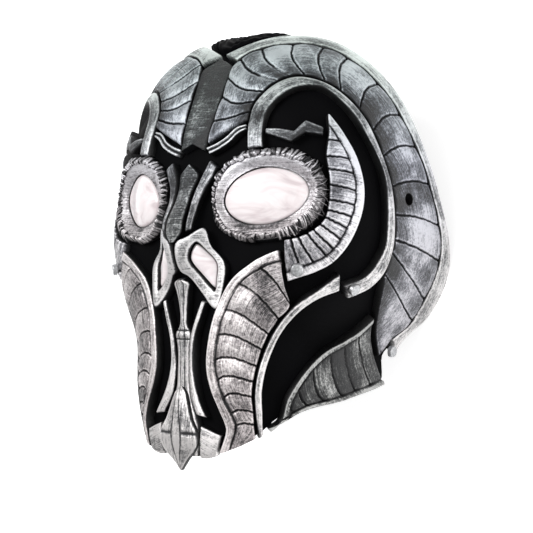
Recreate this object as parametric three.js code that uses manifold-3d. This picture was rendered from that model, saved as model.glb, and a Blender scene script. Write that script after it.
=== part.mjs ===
// A leather face mask with curled horn plates, laid on its back.
// Millimetres. +X is the wearer's left, +Y the crown, +Z out of the face.
// The bare face is one smooth form. A place on it is given by two angles seen from a
// point inside the head: degrees towards the wearer's left, and degrees up.
import * as THREE from 'three'
import { mergeVertices } from 'three/addons/utils/BufferGeometryUtils.js'
import Module from 'manifold-3d'

const wasm = await Module()
wasm.setup()

// Driving dimensions
const REST_DEPTH = 65.5
const MIDDLE_HEIGHT = 12.5
const SHELL = 3
const LEATHER = 3.2
const AIR = 1
const SHELL_DROP = 0.8
const SEAM = 0.5
const LOOP_PLACES = 24
const NUDGE = 0.01
const DRILL_LENGTH = 40

// The bare face, level by level: height, half width, depth in front, squareness.
const LEVELS = [
  [-140, 52, 74, 3], [-105, 58, 77, 2.9], [-75, 67, 77, 2.8], [-45, 70, 76, 2.8],
  [-10, 89, 71, 3.3], [20, 98, 67.5, 3.7], [45, 98, 68.5, 3.4], [75, 95, 64, 3.1],
  [105, 92, 58, 2.9], [150, 86, 62, 2.8],
]
const CROWN = { top: 147, from: 62, power: 2.5 }
const WIDEST_Z = -20
const BACK_DEPTH = 200
const HEAD = new THREE.Vector3(0, 10, -60)

// The nose ridge, and the shallow channel below it that holds the mouth's middle rib:
// height, how far it stands out, how wide it is.
const RIDGE = [
  [-130, -2, 12], [-90, -3, 12], [-50, -3, 12], [-19, 2, 13], [-5, 7, 15], [6, 13.5, 16],
  [25, 15.5, 17.5], [38, 7.5, 15], [50, 2.5, 13], [66, 1.5, 12], [80, 0, 12], [160, 0, 12],
]
const EYE_SOCKET = { depth: 13, x: 63, y: 42, wide: 20, high: 22 }

// Smooth curve through a table's rows: rows are [place, value, value, ...].
function through(table, place, column) {
  const last = table.length - 1
  const x = Math.min(Math.max(place, table[0][0]), table[last][0])
  let i = 0
  while (i < last - 1 && x >= table[i + 1][0]) i += 1
  const slope = (k) => {
    const [lower, upper] = [table[Math.max(k - 1, 0)], table[Math.min(k + 1, last)]]
    if (k === 0 || k === last) return (upper[column] - lower[column]) / (upper[0] - lower[0])
    const before = (table[k][column] - lower[column]) / (table[k][0] - lower[0])
    const after = (upper[column] - table[k][column]) / (upper[0] - table[k][0])
    const [left, right] = [table[k][0] - lower[0], upper[0] - table[k][0]]
    return (before * right + after * left) / (left + right)
  }
  const step = table[i + 1][0] - table[i][0]
  const t = (x - table[i][0]) / step
  const rise = slope(i) * step
  const fall = slope(i + 1) * step
  const [v0, v1] = [table[i][column], table[i + 1][column]]
  return (2 * t ** 3 - 3 * t ** 2 + 1) * v0 + (t ** 3 - 2 * t ** 2 + t) * rise
    + (3 * t ** 2 - 2 * t ** 3) * v1 + (t ** 3 - t ** 2) * fall
}

const hump = (distance, width) => Math.exp(-((distance / width) ** 2))

function isInsideHead(x, y, z) {
  const climb = THREE.MathUtils.clamp((y - CROWN.from) / (CROWN.top - CROWN.from), 0, 1)
  const shrink = Math.max(1 - climb ** CROWN.power, 1e-12) ** (1 / CROWN.power)
  const width = through(LEVELS, y, 1) * shrink
  const front = through(LEVELS, y, 2) - WIDEST_Z
  const depth = (z > WIDEST_Z ? front : BACK_DEPTH) * shrink
  const square = through(LEVELS, y, 3)
  return Math.abs(x / width) ** square + Math.abs((z - WIDEST_Z) / depth) ** square < 1
}

// How far the face stands forward of the plain head form.
function features(x, y) {
  const side = Math.abs(x)
  const nose = through(RIDGE, y, 1) * hump(side, through(RIDGE, y, 2))
  const eye = EYE_SOCKET.depth * hump(side - EYE_SOCKET.x, EYE_SOCKET.wide)
    * hump(y - EYE_SOCKET.y, EYE_SOCKET.high)
  return nose - eye
}

// The point of the bare face at (left, up) degrees.
function face(left, up) {
  const away = THREE.MathUtils.degToRad(Math.hypot(left, up))
  const turn = Math.atan2(up, left)
  const ray = new THREE.Vector3(
    Math.sin(away) * Math.cos(turn), Math.sin(away) * Math.sin(turn), Math.cos(away))
  let [near, far] = [20, 260]
  for (let i = 0; i < 36; i += 1) {
    const reach = (near + far) / 2
    const p = ray.clone().multiplyScalar(reach).add(HEAD)
    if (isInsideHead(p.x, p.y, p.z)) near = reach
    else far = reach
  }
  const point = ray.multiplyScalar(near).add(HEAD)
  point.z += features(point.x, point.y)
  return point
}

function outward(left, up) {
  const reach = 0.4
  const across = face(left + reach, up).sub(face(left - reach, up))
  const along = face(left, up + reach).sub(face(left, up - reach))
  return across.cross(along).normalize()
}

// A point that stands `lift` mm off the bare face.
function raised([left, up], lift) {
  return face(left, up).addScaledVector(outward(left, up), lift)
}

// A closed solid from a top and a bottom grid of points.
// columns run round or along, rows run across; `ring` joins the last column to the first.
function slab(top, bottom, ring = false) {
  const columns = top.length
  const rows = top[0].length
  const points = [...top.flat(), ...bottom.flat()]
  const at = (column, row, under) =>
    (under ? columns * rows : 0) + (column % columns) * rows + row
  const triangles = []
  const quad = (a, b, c, d) => triangles.push(a, b, c, a, c, d)
  const steps = ring ? columns : columns - 1
  for (let i = 0; i < steps; i += 1) {
    for (let j = 0; j < rows - 1; j += 1) {
      quad(at(i, j), at(i + 1, j), at(i + 1, j + 1), at(i, j + 1))
      quad(at(i, j, 1), at(i, j + 1, 1), at(i + 1, j + 1, 1), at(i + 1, j, 1))
    }
    quad(at(i, 0, 1), at(i + 1, 0, 1), at(i + 1, 0), at(i, 0))
    const edge = rows - 1
    quad(at(i, edge), at(i + 1, edge), at(i + 1, edge, 1), at(i, edge, 1))
  }
  for (let j = 0; !ring && j < rows - 1; j += 1) {
    const end = columns - 1
    quad(at(0, j), at(0, j + 1), at(0, j + 1, 1), at(0, j, 1))
    quad(at(end, j + 1), at(end, j), at(end, j, 1), at(end, j + 1, 1))
  }
  return solid(points, triangles)
}

// Points and triangles as one merged body with its faces pointing out.
function solid(points, triangles) {
  const geometry = new THREE.BufferGeometry().setFromPoints(points)
  geometry.setIndex(triangles)
  const whole = mergeVertices(geometry, 1e-4)
  const index = [...whole.index.array]
  const kept = []
  for (let i = 0; i < index.length; i += 3) {
    const [a, b, c] = index.slice(i, i + 3)
    if (a !== b && b !== c && a !== c) kept.push([a, b, c])
  }
  const corner = (i) => new THREE.Vector3().fromBufferAttribute(whole.attributes.position, i)
  const volume = kept.reduce((sum, [a, b, c]) =>
    sum + corner(a).dot(corner(b).cross(corner(c))), 0)
  whole.setIndex(kept.flatMap(([a, b, c]) => (volume > 0 ? [a, b, c] : [a, c, b])))
  return whole
}

// A smooth line through hand-set places on the face; t runs from 0 to 1, from `start` on.
function line(places, { closed = false, start = 0 } = {}) {
  const points = places.map(([left, up]) => new THREE.Vector3(left, up, 0))
  const curve = new THREE.CatmullRomCurve3(points, closed, 'catmullrom', 0.5)
  return (t) => {
    const p = curve.getPoint(start + t * (1 - start))
    return [p.x, p.y]
  }
}

const mix = ([a, b], [c, d], v) => [a + (c - a) * v, b + (d - b) * v]
const none = () => 0

// A plate of leather between two edge lines, with `along` and `across` as its stops.
// `bow` bends its cross lines, in degrees, and `rise` says how much thicker than plain
// leather it is at (t along, v across).
function plate({
  outer, inner, innerStart = 0, along, across, bow = none, rise = none, seam = SEAM,
  under = AIR,
}) {
  const [outerLine, innerLine] = [line(outer), line(inner, { start: innerStart })]
  const place = (t, v) => {
    const [a, b] = [outerLine(t), innerLine(t)]
    const width = Math.hypot(b[0] - a[0], b[1] - a[1]) || 1
    const inset = Math.min(seam / 2 / width, 0.4)
    const [left, up] = mix(a, b, inset + v * (1 - 2 * inset))
    const ahead = outerLine(Math.min(t + NUDGE, 1))
    const behind = outerLine(Math.max(t - NUDGE, 0))
    const run = Math.hypot(ahead[0] - behind[0], ahead[1] - behind[1]) || 1
    const shift = -bow(t) * Math.sin(Math.PI * v) / run
    return [left + (ahead[0] - behind[0]) * shift, up + (ahead[1] - behind[1]) * shift]
  }
  const grid = (lift) => along.map((t) => across.map((v) => raised(place(t, v), lift(t, v))))
  return slab(grid((t, v) => AIR + LEATHER + rise(t, v)), grid(() => under))
}

// A disc or dome inside a closed line, its middle at the line's centre.
function dome({ edge, sides, rings, crown = 0, thick = LEATHER, under = AIR, shrink = 1 }) {
  const rim = line(edge, { closed: true })
  const middle = edge.reduce(([x, y], [l, u]) => [x + l / edge.length, y + u / edge.length], [0, 0])
  const radii = Array.from({ length: rings + 1 }, (_, j) => 1 - j / rings)
  const grid = (lift) => Array.from({ length: sides }, (_, i) =>
    radii.map((r) => raised(mix(middle, rim(i / sides), r * shrink), lift(r))))
  return slab(grid((r) => under + thick + crown * (1 - r * r)), grid(() => under), true)
}

// A flat ring of leather between two closed lines.
function collar({ outer, inner, sides, rise, across = [0, 1], under = AIR }) {
  const closed = { closed: true }
  const [outerLine, innerLine] = [line(outer, closed), line(inner, closed)]
  const grid = (lift) => Array.from({ length: sides }, (_, i) =>
    across.map((v) => raised(mix(outerLine(i / sides), innerLine(i / sides), v), lift(i, v))))
  return slab(grid((i, v) => under + LEATHER + rise(i, v)), grid(() => under), true)
}

const toManifold = (geometry) => {
  geometry.deleteAttribute('normal')
  geometry.deleteAttribute('uv')
  const merged = mergeVertices(geometry, 1e-4)
  return new wasm.Manifold(new wasm.Mesh({
    numProp: 3,
    vertProperties: new Float32Array(merged.attributes.position.array),
    triVerts: new Uint32Array(merged.index.array),
  }))
}

const fromManifold = (body) => {
  const { vertProperties, triVerts, numProp } = body.getMesh()
  const geometry = new THREE.BufferGeometry()
  geometry.setAttribute('position', new THREE.BufferAttribute(vertProperties, numProp))
  geometry.setIndex(new THREE.BufferAttribute(triVerts, 1))
  return geometry
}

const cut = (geometry, ...tools) => fromManifold(
  tools.reduce((body, tool) => body.subtract(toManifold(tool)), toManifold(geometry)))

// Everything below the plane the mask lies on, as one block to cut away.
function tableBlock() {
  const [size, depth] = [600, 200]
  const block = new THREE.BoxGeometry(size, size, depth)
  block.translate(0, 0, -REST_DEPTH - depth / 2)
  return block
}

// Places are mirrored for the wearer's right side.
const flip = (places, side) => places.map(([left, up]) => [left * side, up])

// A rounded-square loop of places round a centre.
function loop({ left, up, wide, high, tilt, square }) {
  return Array.from({ length: LOOP_PLACES }, (_, i) => {
    const angle = (i / LOOP_PLACES) * 2 * Math.PI
    const [c, s] = [Math.cos(angle), Math.sin(angle)]
    const x = wide * Math.sign(c) * Math.abs(c) ** (2 / square)
    const y = high * Math.sign(s) * Math.abs(s) ** (2 / square)
    return [left + x - y * Math.sin(tilt), up + y + x * Math.sin(tilt)]
  })
}

const FRINGE = { left: 22.3, up: 13.4, wide: 14.3, high: 11.3, tilt: 0.06, square: 2.3 }
const LENS = { left: 21.6, up: 13.3, wide: 10.1, high: 7.1, tilt: 0.12, square: 1.85 }
const LENS_SEAT = 0.5
const LACE_HOLE = { left: 60.9, up: 18.7, radius: 3.8 }
const EYE_OPENING = 0.86

// The mask's edge from chin to jaw, up the back of the horn, and over the crown.
const HORN_EDGE = [
  [0.6, 50.3], [16.5, 57.4], [30.5, 59.5], [53, 50.2], [75, 29], [92.2, -8], [84, -41],
  [56.5, -53.8],
]
const SHELL_RIM = [
  [0, -42.4], [8.4, -41.5], [16.8, -41.2], [22.6, -40.6], [32.7, -46.4], [46.9, -58.6], [54, -51.5],
  [66, -53], [80, -45], [88.3, -29.7], [90.7, -7.5], [85.9, 9], [77.5, 24.6], [70, 33.6],
  [59.5, 43.2], [49.2, 51.2], [39.5, 55.8], [27, 58.2], [16, 62], [15, 78], [13.5, 94], [7, 97],
  [0, 98],
]

// The crown's raised fold of black leather between the horns: its front and back edges.
const FOLD_FRONT = [[-13, 57.4], [-6.5, 54.6], [0, 52], [6.5, 54.6], [13, 57.4]]
const FOLD_BACK = [[-11, 70], [0, 71], [11, 70]]
const FOLD_RISE = 2.4
const FOLD_FALL = 6.2
const FOLD_DEPTH = 3.4

// The band's inner rail is the groove line from its third place on.
const BAND_START = 2 / 9
const HORN_GROOVE = [
  [4.5, 26.8], [5.5, 38.8], [6.4, 47.9], [18.2, 52.9], [32, 54], [51, 46], [70.5, 28.5], [84.3, -4],
  [73, -38.6], [58.4, -45],
]
const HORN_INNER = [
  [15.8, 31.7], [16, 36.4], [19.7, 41.3], [25.6, 43.6], [35, 41.7], [45.2, 34.8], [54.6, 20.5],
  [57.7, 4.3], [55.6, -6.6], [49.5, -47.9],
]
const STRAP_OUTER = [
  [16.8, 24.9], [16, 31.6], [16.4, 36.2], [20.1, 41], [25.9, 43.1], [34.7, 41.4], [44.8, 34.5],
  [54.1, 20.3], [57.3, 4.3], [55.3, -6.3], [50, -11.9], [42.6, -14],
]
const STRAP_INNER = [
  [20.8, 25.3], [20.1, 31.2], [20.8, 35.3], [23.8, 39], [28, 40.8], [33.2, 40.1], [42.2, 33.8],
  [51.4, 21.9], [54.1, 4.3], [51.9, -3], [47.8, -7.8], [41.8, -9.5],
]
const CRESCENT_OUTER = [
  [34.6, 34.2], [39, 29.9], [43.1, 24.4], [45.7, 17.3], [45.9, 10.2], [43.8, 3.1], [40.1, -2.4],
  [35.6, -5.4], [28.9, -8],
]
const CRESCENT_INNER = [
  [34, 34], [35.3, 29.2], [35.6, 23.5], [36.9, 17.7], [37.4, 11], [36.7, 7], [33.8, 4.1], [31, 2.7],
  [28, 2],
]
const TRIM_UPPER = [[4.2, 25.9], [7.1, 26.8], [10, 28.1], [12.8, 30.3], [15.5, 30.9]]
const TRIM_LOWER = [[5.8, 24.1], [9, 25.2], [11.8, 26.7], [13.6, 28.3], [15.7, 29.3]]
const ZIGZAG_UPPER = [
  [20.9, 29.6], [24.4, 29.5], [27.5, 29.1], [28, 29.3], [29.7, 31.6], [30.2, 31.7], [34, 30.7],
]
const ZIGZAG_LOWER = [
  [21, 28.1], [23.9, 27.3], [26.9, 26.4], [27.5, 26.5], [30.1, 28.5], [30.7, 28.6], [34.3, 28.5],
]
const CHEEK_FRONT = [
  [26.9, -0.3], [23.5, -1.7], [20.1, -3.6], [14.5, -8], [10.4, -14.9], [8.4, -20.9], [7.6, -26.6],
  [8.4, -30.9], [9.9, -34.5], [10.9, -37.2], [10.8, -38.9], [9.1, -41.8],
]
const CHEEK_REAR = [
  [27.7, -3.9], [28.1, -9.2], [28.5, -14], [25.3, -17.4], [22.3, -21.1], [20.2, -24.8],
  [18.7, -28.3], [17.7, -31.1], [17.1, -33.7], [16.8, -36.5], [16.3, -39.3], [16, -41.4],
]
const BAND_OUTER = [
  [40.4, -11.1], [35, -12.7], [30, -16], [25.1, -21.1], [21.3, -27.5], [19.3, -32.7], [18.4, -36.9],
  [17.3, -41.3],
]
const BAND_INNER = [
  [40.8, -6.2], [35.3, -10.1], [29.1, -14.2], [23.5, -20.3], [19.7, -26.7], [17.7, -32.3],
  [16.9, -36.7], [16.3, -41.5],
]
const JAW_TOP = [
  [18.3, -40.2], [20.7, -40.3], [23.6, -36.1], [28.3, -32.8], [33.7, -30.7], [39.7, -30.3],
  [45.5, -29.1], [51.5, -25.9],
]
const JAW_BOTTOM = [
  [18.6, -41.4], [22.6, -40.8], [25.7, -41.5], [28.9, -43.3], [33.1, -46.7], [37.9, -50.6],
  [42.7, -54.9], [46.7, -58.1],
]
const FRAME_OUTER = [
  [6.8, 5.7], [8.5, 0.9], [12.4, -3.4], [12.6, -8.2], [10.4, -14.9], [5.8, -11.2], [2.4, -6.6],
  [0.5, -4.5], [0.6, 1.5], [3.2, 3.6],
]
const GEM_EDGE = [
  [5.2, 2], [7.1, 0], [10.2, -3.8], [10.3, -7.4], [9.8, -10.5], [6.9, -8.2], [4.3, -4.8],
  [3.2, -2.2], [3.6, 0], [4.4, 1.6],
]
const NOSE_STRIP_OUTER = [[4.3, 5.4], [4.6, 8.8], [4.8, 12.2], [6, 15.5], [7.7, 18.3], [8.8, 20.7]]
const NOSE_STRIP_INNER = [[2.7, 4.7], [2.8, 8.2], [2.6, 12], [3.2, 15.7], [4.6, 19.6], [6.3, 22.7]]
const RIB_OUTER = [
  [7.3, -13.5], [6.1, -16.6], [4.5, -20.9], [3.95, -25.2], [4.3, -29.1], [5.5, -32.7], [7.4, -36],
]
const RIB_INNER = [
  [5.9, -12.9], [4.4, -16.8], [3, -20.8], [2.4, -25], [2.4, -28.5], [3, -32.3], [4.8, -35.6],
]
const CHIN_TOP = [[5.8, -37.2], [7.7, -37.9], [10.1, -38.9]]
const CHIN_BOTTOM = [[5.1, -42.3], [6.7, -42.4], [8.6, -42.2]]

// Half widths of the pieces on the middle line: [degrees up, half width].
const FOREHEAD = [[25.2, 4.1], [31.9, 4.7], [38.2, 5], [43, 5.2], [46.3, 5.3], [48, 3], [48.9, 0.6]]
const BRIDGE = [[2.1, 0.6], [4.8, 2.1], [9.1, 2.1], [14.2, 2], [18.7, 3], [20.1, 2.3], [21.8, 0.4]]
const SPINE = [
  [-42, 4.6], [-38.5, 5.2], [-35.9, 4.4], [-31.8, 2.5], [-27.6, 2.2], [-23.3, 2.2], [-20.6, 2.7],
  [-18, 1.2], [-13.5, 1.4], [-10.4, 1.9], [-8.4, 2.3], [-7.3, 0.9],
]
const TUSK = [
  [-44.2, 0.3], [-42.8, 2.2], [-40.7, 4.9], [-38.5, 5.3], [-36.3, 4], [-33.4, 2.2], [-31.2, 0.4],
]

// Heights above plain leather.
const HORN_SWELL = 0.8
const BAND_RISE = 1.6
const STRAP_RISE = 0.8
const EDGE_RISE = 1.4
const STRIP_RISE = 0.6
const TRIM_RISE = 0.8
const TUSK_UNDER = 5.8
const TUSK_RISE = 3.4
const TUSK_EDGE = 1.8
const FRINGE_UNDER = 1.5
const FRINGE_EDGE = 1.6
const FRINGE_RISE = 1.2

// Rivets: their place, radius and the height of their seat above the bare face.
const RIVETS = {
  cheek: { left: 31.3, up: -4.9, radius: 4, under: 6 },
  temple: { left: 43.9, up: -10.8, radius: 3.6, under: 6 },
  jaw: { left: 54, up: -49.3, radius: 3.8, under: 6.8 },
}
const RIVET_HEIGHT = 2.4

// Where the tooled grooves cross each plate, as parts of its length. GROOVE_BOW is how
// far, in degrees, a groove's middle is bent towards the plate's start.
const GROOVE_DEPTH = 1.2
const GROOVE_BOW = 1.2
const HORN_GROOVES = [
  0.05, 0.11, 0.165, 0.23, 0.28, 0.34, 0.4, 0.448, 0.507, 0.558, 0.606, 0.664, 0.724, 0.78, 0.844,
  0.895,
]
const CRESCENT_GROOVES = [0.16, 0.25, 0.32, 0.4, 0.47, 0.53, 0.59, 0.655, 0.715, 0.77, 0.86, 0.93]
const CHEEK_GROOVES = [0.17, 0.27, 0.36, 0.45, 0.54, 0.63, 0.724, 0.815, 0.89]
const JAW_GROOVES = [0.24, 0.36, 0.48, 0.61, 0.715, 0.85]

const even = (count) => Array.from({ length: count + 1 }, (_, i) => i / count)

// Stops along a ribbed plate: its ends, every groove and the crest between two grooves.
function ribStops(grooves) {
  const lines = [0, ...grooves, 1]
  return lines.flatMap((t, i) => (i ? [(lines[i - 1] + t) / 2, t] : [t]))
}

// Rounded ribs between the grooves.
function ribs(t, grooves) {
  const lines = [0, ...grooves, 1]
  const next = Math.max(1, lines.findIndex((place) => place >= t))
  const phase = (t - lines[next - 1]) / (lines[next] - lines[next - 1])
  return GROOVE_DEPTH * Math.sin(Math.PI * phase)
}

// A symmetric plate on the middle line; `notch` cuts a small V into its lower end.
function middlePlate({ rows, notch = 0, across, rise, under = AIR }) {
  const half = line(rows.map(([up, width]) => [width, up]))
  const steps = Math.round((rows.length - 1) * 1.5)
  const grid = (lift) => even(steps).map((t, i) => {
    const [width, up] = half(t)
    const raise = i === 0 ? notch : 0
    return across.map((v) =>
      raised([width * v, up + raise * (1 - Math.abs(v))], lift(t, v)))
  })
  return slab(grid((t, v) => under + LEATHER + rise(t, v)), grid(() => under))
}

// A cylinder made upright is turned to stand on the face, its middle `lift` mm off it.
function standOn([left, up], lift, cylinder) {
  const turn = new THREE.Quaternion().setFromUnitVectors(
    new THREE.Vector3(0, 1, 0), outward(left, up))
  const seat = raised([left, up], lift)
  return cylinder.applyQuaternion(turn).translate(seat.x, seat.y, seat.z)
}

function rivet({ left, up, radius, under }, side) {
  const head = new THREE.CylinderGeometry(radius * 0.8, radius, RIVET_HEIGHT, 10)
  return standOn([left * side, up], under + RIVET_HEIGHT / 2, head)
}

// The cutter for the lace hole through horn and shell.
function laceCutter(side) {
  const { left, up, radius } = LACE_HOLE
  return standOn(
    [left * side, up], 0, new THREE.CylinderGeometry(radius, radius, DRILL_LENGTH, 12))
}

// A square grid of cells is rounded onto the mask's outline, with small cells at the face.
function baseShell() {
  const cells = 22
  const right = SHELL_RIM.slice(1, -1).reverse().map(([left, up]) => [-left, up])
  const rim = line([...SHELL_RIM, ...right], { closed: true })
  const steps = Array.from({ length: cells + 1 }, (_, i) => (2 * i) / cells - 1)
  const graded = steps.map((s) => s * (0.75 + 0.25 * s * s))
  const place = (u, v) => {
    const [x, y] = [u * Math.sqrt(1 - v * v / 2), v * Math.sqrt(1 - u * u / 2)]
    const turn = (Math.atan2(x, -y) / (2 * Math.PI) + 1) % 1
    return mix([0, 0], rim(turn), Math.hypot(x, y))
  }
  const grid = (lift) => graded.map((u) => graded.map((v) => raised(place(u, v), lift)))
  const shell = slab(grid(-SHELL_DROP), grid(-SHELL_DROP - SHELL))
  const crest = (t, v) => Math.min(1, 0.5 + v * 4) - (2 * t - 1) ** 4
  const fold = plate({
    outer: FOLD_FRONT, inner: FOLD_BACK, along: even(8), across: [0, 0.12, 0.5, 1],
    under: -FOLD_DEPTH, rise: (t, v) => FOLD_RISE * crest(t, v) - FOLD_FALL * v,
  })
  const tools = [tableBlock()]
  for (const side of [1, -1]) {
    const deep = { thick: 16, under: -12, sides: 20, rings: 1 }
    tools.push(dome({ ...deep, edge: flip(loop(LENS), side), shrink: EYE_OPENING }))
    tools.push(dome({ ...deep, edge: flip(GEM_EDGE, side), shrink: 0.7 }))
    tools.push(laceCutter(side))
  }
  return cut(fromManifold(toManifold(shell).add(toManifold(fold))), ...tools)
}

const black = { color: 0x17171a, roughness: 0.75, metalness: 0 }
const silver = { color: 0xb4b4b8, roughness: 0.45, metalness: 0.6 }
const bright = { color: 0xd8d8dc, roughness: 0.4, metalness: 0.6 }
const gunmetal = { color: 0x6c6e74, roughness: 0.45, metalness: 0.6 }
const pearl = { color: 0xe9e4e6, roughness: 0.15, metalness: 0 }

const mask = new THREE.Group()
mask.position.set(0, -MIDDLE_HEIGHT, REST_DEPTH)

function add(name, geometry, finish) {
  const mesh = new THREE.Mesh(geometry, new THREE.MeshStandardMaterial(finish))
  mesh.name = name
  mask.add(mesh)
}

add('base_shell', baseShell(), black)
add('forehead_strip', middlePlate({
  rows: FOREHEAD, notch: 1.6, across: [-1, 0, 1], rise: (t, v) => 1 - v * v,
}), gunmetal)
add('nose_bridge', middlePlate({
  rows: BRIDGE, across: [-1, 0, 1], rise: (t, v) => 1 - v * v,
}), gunmetal)
add('mouth_spine', middlePlate({
  rows: SPINE, across: [-1, 0, 1], rise: (t, v) => 1.2 * (1 - v * v),
}), silver)
add('chin_tusk', middlePlate({
  rows: TUSK, across: [-1, -0.3, 0.3, 1], under: TUSK_UNDER,
  rise: (t, v) => (Math.abs(v) < 1 ? TUSK_RISE * Math.sin(Math.PI * t) : 0) - TUSK_EDGE,
}), bright)

for (const [side, hand] of [[1, 'left'], [-1, 'right']]) {
  const both = (outer, inner) => ({ outer: flip(outer, side), inner: flip(inner, side) })
  add(`horn_plate_${hand}`, cut(plate({
    ...both(HORN_GROOVE, HORN_INNER), along: ribStops(HORN_GROOVES), across: [0, 0.5, 1],
    bow: (t) => GROOVE_BOW * Math.min(1, t * 9) * Math.min(1, (1 - t) * 9),
    rise: (t, v) => ribs(t, HORN_GROOVES) + HORN_SWELL * Math.sin(Math.PI * v),
  }), laceCutter(side), tableBlock()), silver)
  add(`horn_band_${hand}`, cut(plate({
    ...both(HORN_EDGE, HORN_GROOVE), innerStart: BAND_START, seam: 1.2,
    along: even(26), across: [0, 1], rise: () => BAND_RISE,
  }), tableBlock()), bright)
  add(`horn_strap_${hand}`, plate({
    ...both(STRAP_OUTER, STRAP_INNER), along: even(24), across: [0, 1],
    rise: () => STRAP_RISE,
  }), bright)
  add(`brow_trim_${hand}`, plate({
    ...both(TRIM_UPPER, TRIM_LOWER), along: even(8), across: [0, 0.5, 1],
    rise: (t, v) => TRIM_RISE * (1 - 2 * Math.sin(Math.PI * v)),
  }), silver)
  add(`brow_zigzag_${hand}`, plate({
    ...both(ZIGZAG_UPPER, ZIGZAG_LOWER), along: even(12), across: [0, 1],
  }), gunmetal)
  add(`eye_crescent_${hand}`, plate({
    ...both(CRESCENT_OUTER, CRESCENT_INNER),
    along: ribStops(CRESCENT_GROOVES), across: [0, 0.25, 1],
    rise: (t, v) => (v < 0.2 ? EDGE_RISE : ribs(t, CRESCENT_GROOVES)),
  }), silver)
  const fringe = loop(FRINGE)
  const seat = loop({ ...LENS, wide: LENS.wide + LENS_SEAT, high: LENS.high + LENS_SEAT })
  add(`eye_fringe_${hand}`, collar({
    outer: flip(fringe, side), inner: flip(seat, side), sides: 36, under: FRINGE_UNDER,
    rise: (i, v) => (v === 0 ? -FRINGE_EDGE - (i % 2) : FRINGE_RISE),
  }), silver)
  add(`eye_lens_${hand}`, dome({
    edge: flip(loop(LENS), side), sides: 20, rings: 2, crown: 5, thick: 2.4,
  }), pearl)
  add(`cheek_plate_${hand}`, plate({
    ...both(CHEEK_FRONT, CHEEK_REAR), along: ribStops(CHEEK_GROOVES), across: [0, 0.22, 0.6, 1],
    bow: (t) => GROOVE_BOW * Math.min(1, t * 4) * Math.min(1, (1 - t) * 4),
    rise: (t, v) => (v < 0.2 ? EDGE_RISE : ribs(t, CHEEK_GROOVES)),
  }), silver)
  add(`cheek_band_${hand}`, plate({
    ...both(BAND_OUTER, BAND_INNER), along: even(18), across: [0, 1], rise: () => EDGE_RISE,
  }), bright)
  add(`jaw_plate_${hand}`, plate({
    ...both(JAW_TOP, JAW_BOTTOM), along: ribStops(JAW_GROOVES), across: [0, 0.15, 0.9, 1],
    bow: (t) => GROOVE_BOW * Math.min(1, t * 2),
    rise: (t, v) => (v < 0.1 || v > 0.95 ? EDGE_RISE : ribs(t, JAW_GROOVES)),
  }), gunmetal)
  add(`nostril_frame_${hand}`, collar({
    outer: flip(FRAME_OUTER, side), inner: flip(GEM_EDGE, side), sides: 18,
    across: [0, 0.5, 1],
    rise: (i, v) => EDGE_RISE * Math.sin(Math.PI * v) - 0.4,
  }), bright)
  add(`nostril_gem_${hand}`, dome({
    edge: flip(GEM_EDGE, side), sides: 16, rings: 2, crown: 2.4, thick: 2, shrink: 0.86,
  }), pearl)
  add(`nose_strip_${hand}`, plate({
    ...both(NOSE_STRIP_OUTER, NOSE_STRIP_INNER), along: even(10), across: [0, 1],
    rise: () => STRIP_RISE,
  }), silver)
  add(`mouth_rib_${hand}`, plate({
    ...both(RIB_OUTER, RIB_INNER), along: even(14), across: [0, 1], rise: () => STRAP_RISE,
  }), silver)
  add(`chin_band_${hand}`, plate({
    ...both(CHIN_TOP, CHIN_BOTTOM), along: even(4), across: [0, 1], rise: () => STRIP_RISE,
  }), silver)
  for (const [place, size] of Object.entries(RIVETS)) {
    add(`rivet_${place}_${hand}`, rivet(size, side), silver)
  }
}

export default mask
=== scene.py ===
# %% [markdown]
# This scene dresses a leather face mask that lies on its back. The real mask is a moulded black
# leather shell with tooled leather plates glued on: two curled horns, ribbed cheeks and jaws,
# fringed eyes with pearly inserts and a pointed chin. The plates are painted silver, and the
# paint is thin in the grooves, so the black leather draws every line of the tooling.

# %% Load the frame
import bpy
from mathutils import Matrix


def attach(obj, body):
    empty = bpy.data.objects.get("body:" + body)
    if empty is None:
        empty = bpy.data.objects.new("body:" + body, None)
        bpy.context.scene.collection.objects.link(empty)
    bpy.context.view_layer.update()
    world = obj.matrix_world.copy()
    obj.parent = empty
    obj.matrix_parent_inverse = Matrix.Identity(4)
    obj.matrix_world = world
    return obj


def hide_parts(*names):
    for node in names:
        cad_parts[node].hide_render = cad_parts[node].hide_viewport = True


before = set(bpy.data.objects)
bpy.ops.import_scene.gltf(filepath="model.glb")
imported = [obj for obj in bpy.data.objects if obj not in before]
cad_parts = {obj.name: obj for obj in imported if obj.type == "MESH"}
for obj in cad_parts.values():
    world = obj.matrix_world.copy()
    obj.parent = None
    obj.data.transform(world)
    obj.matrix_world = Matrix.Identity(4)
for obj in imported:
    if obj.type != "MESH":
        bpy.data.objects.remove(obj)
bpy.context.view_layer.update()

import math
import bmesh
import bpy
import numpy as np
from mathutils import Matrix, Vector

# %% [markdown]
# Every plate lies on one smooth face form, so the form comes first. It is worked out in
# millimetres in the wearer's own frame: rounded-square levels stacked from chin to crown, closed
# by a cap, with a nose ridge, eye sockets and a channel down the mouth added on top. A place on
# the face is given by two angles seen from inside the head: degrees left and degrees up.

# %% The face form
REST_DEPTH = 65.5
MIDDLE_HEIGHT = 12.5
MM = 0.001
# height, half width, depth in front, squareness
LEVELS = np.array([
    (-140, 52, 74, 3), (-105, 58, 77, 2.9), (-75, 67, 77, 2.8), (-45, 70, 76, 2.8),
    (-10, 89, 71, 3.3), (20, 98, 67.5, 3.7), (45, 98, 68.5, 3.4), (75, 95, 64, 3.1),
    (105, 92, 58, 2.9), (150, 86, 62, 2.8)])
CROWN_TOP, CROWN_FROM, CROWN_POWER = 147.0, 62.0, 2.5
WIDEST_Z, BACK_DEPTH = -20.0, 200.0
HEAD = np.array([0.0, 10.0, -60.0])
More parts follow.
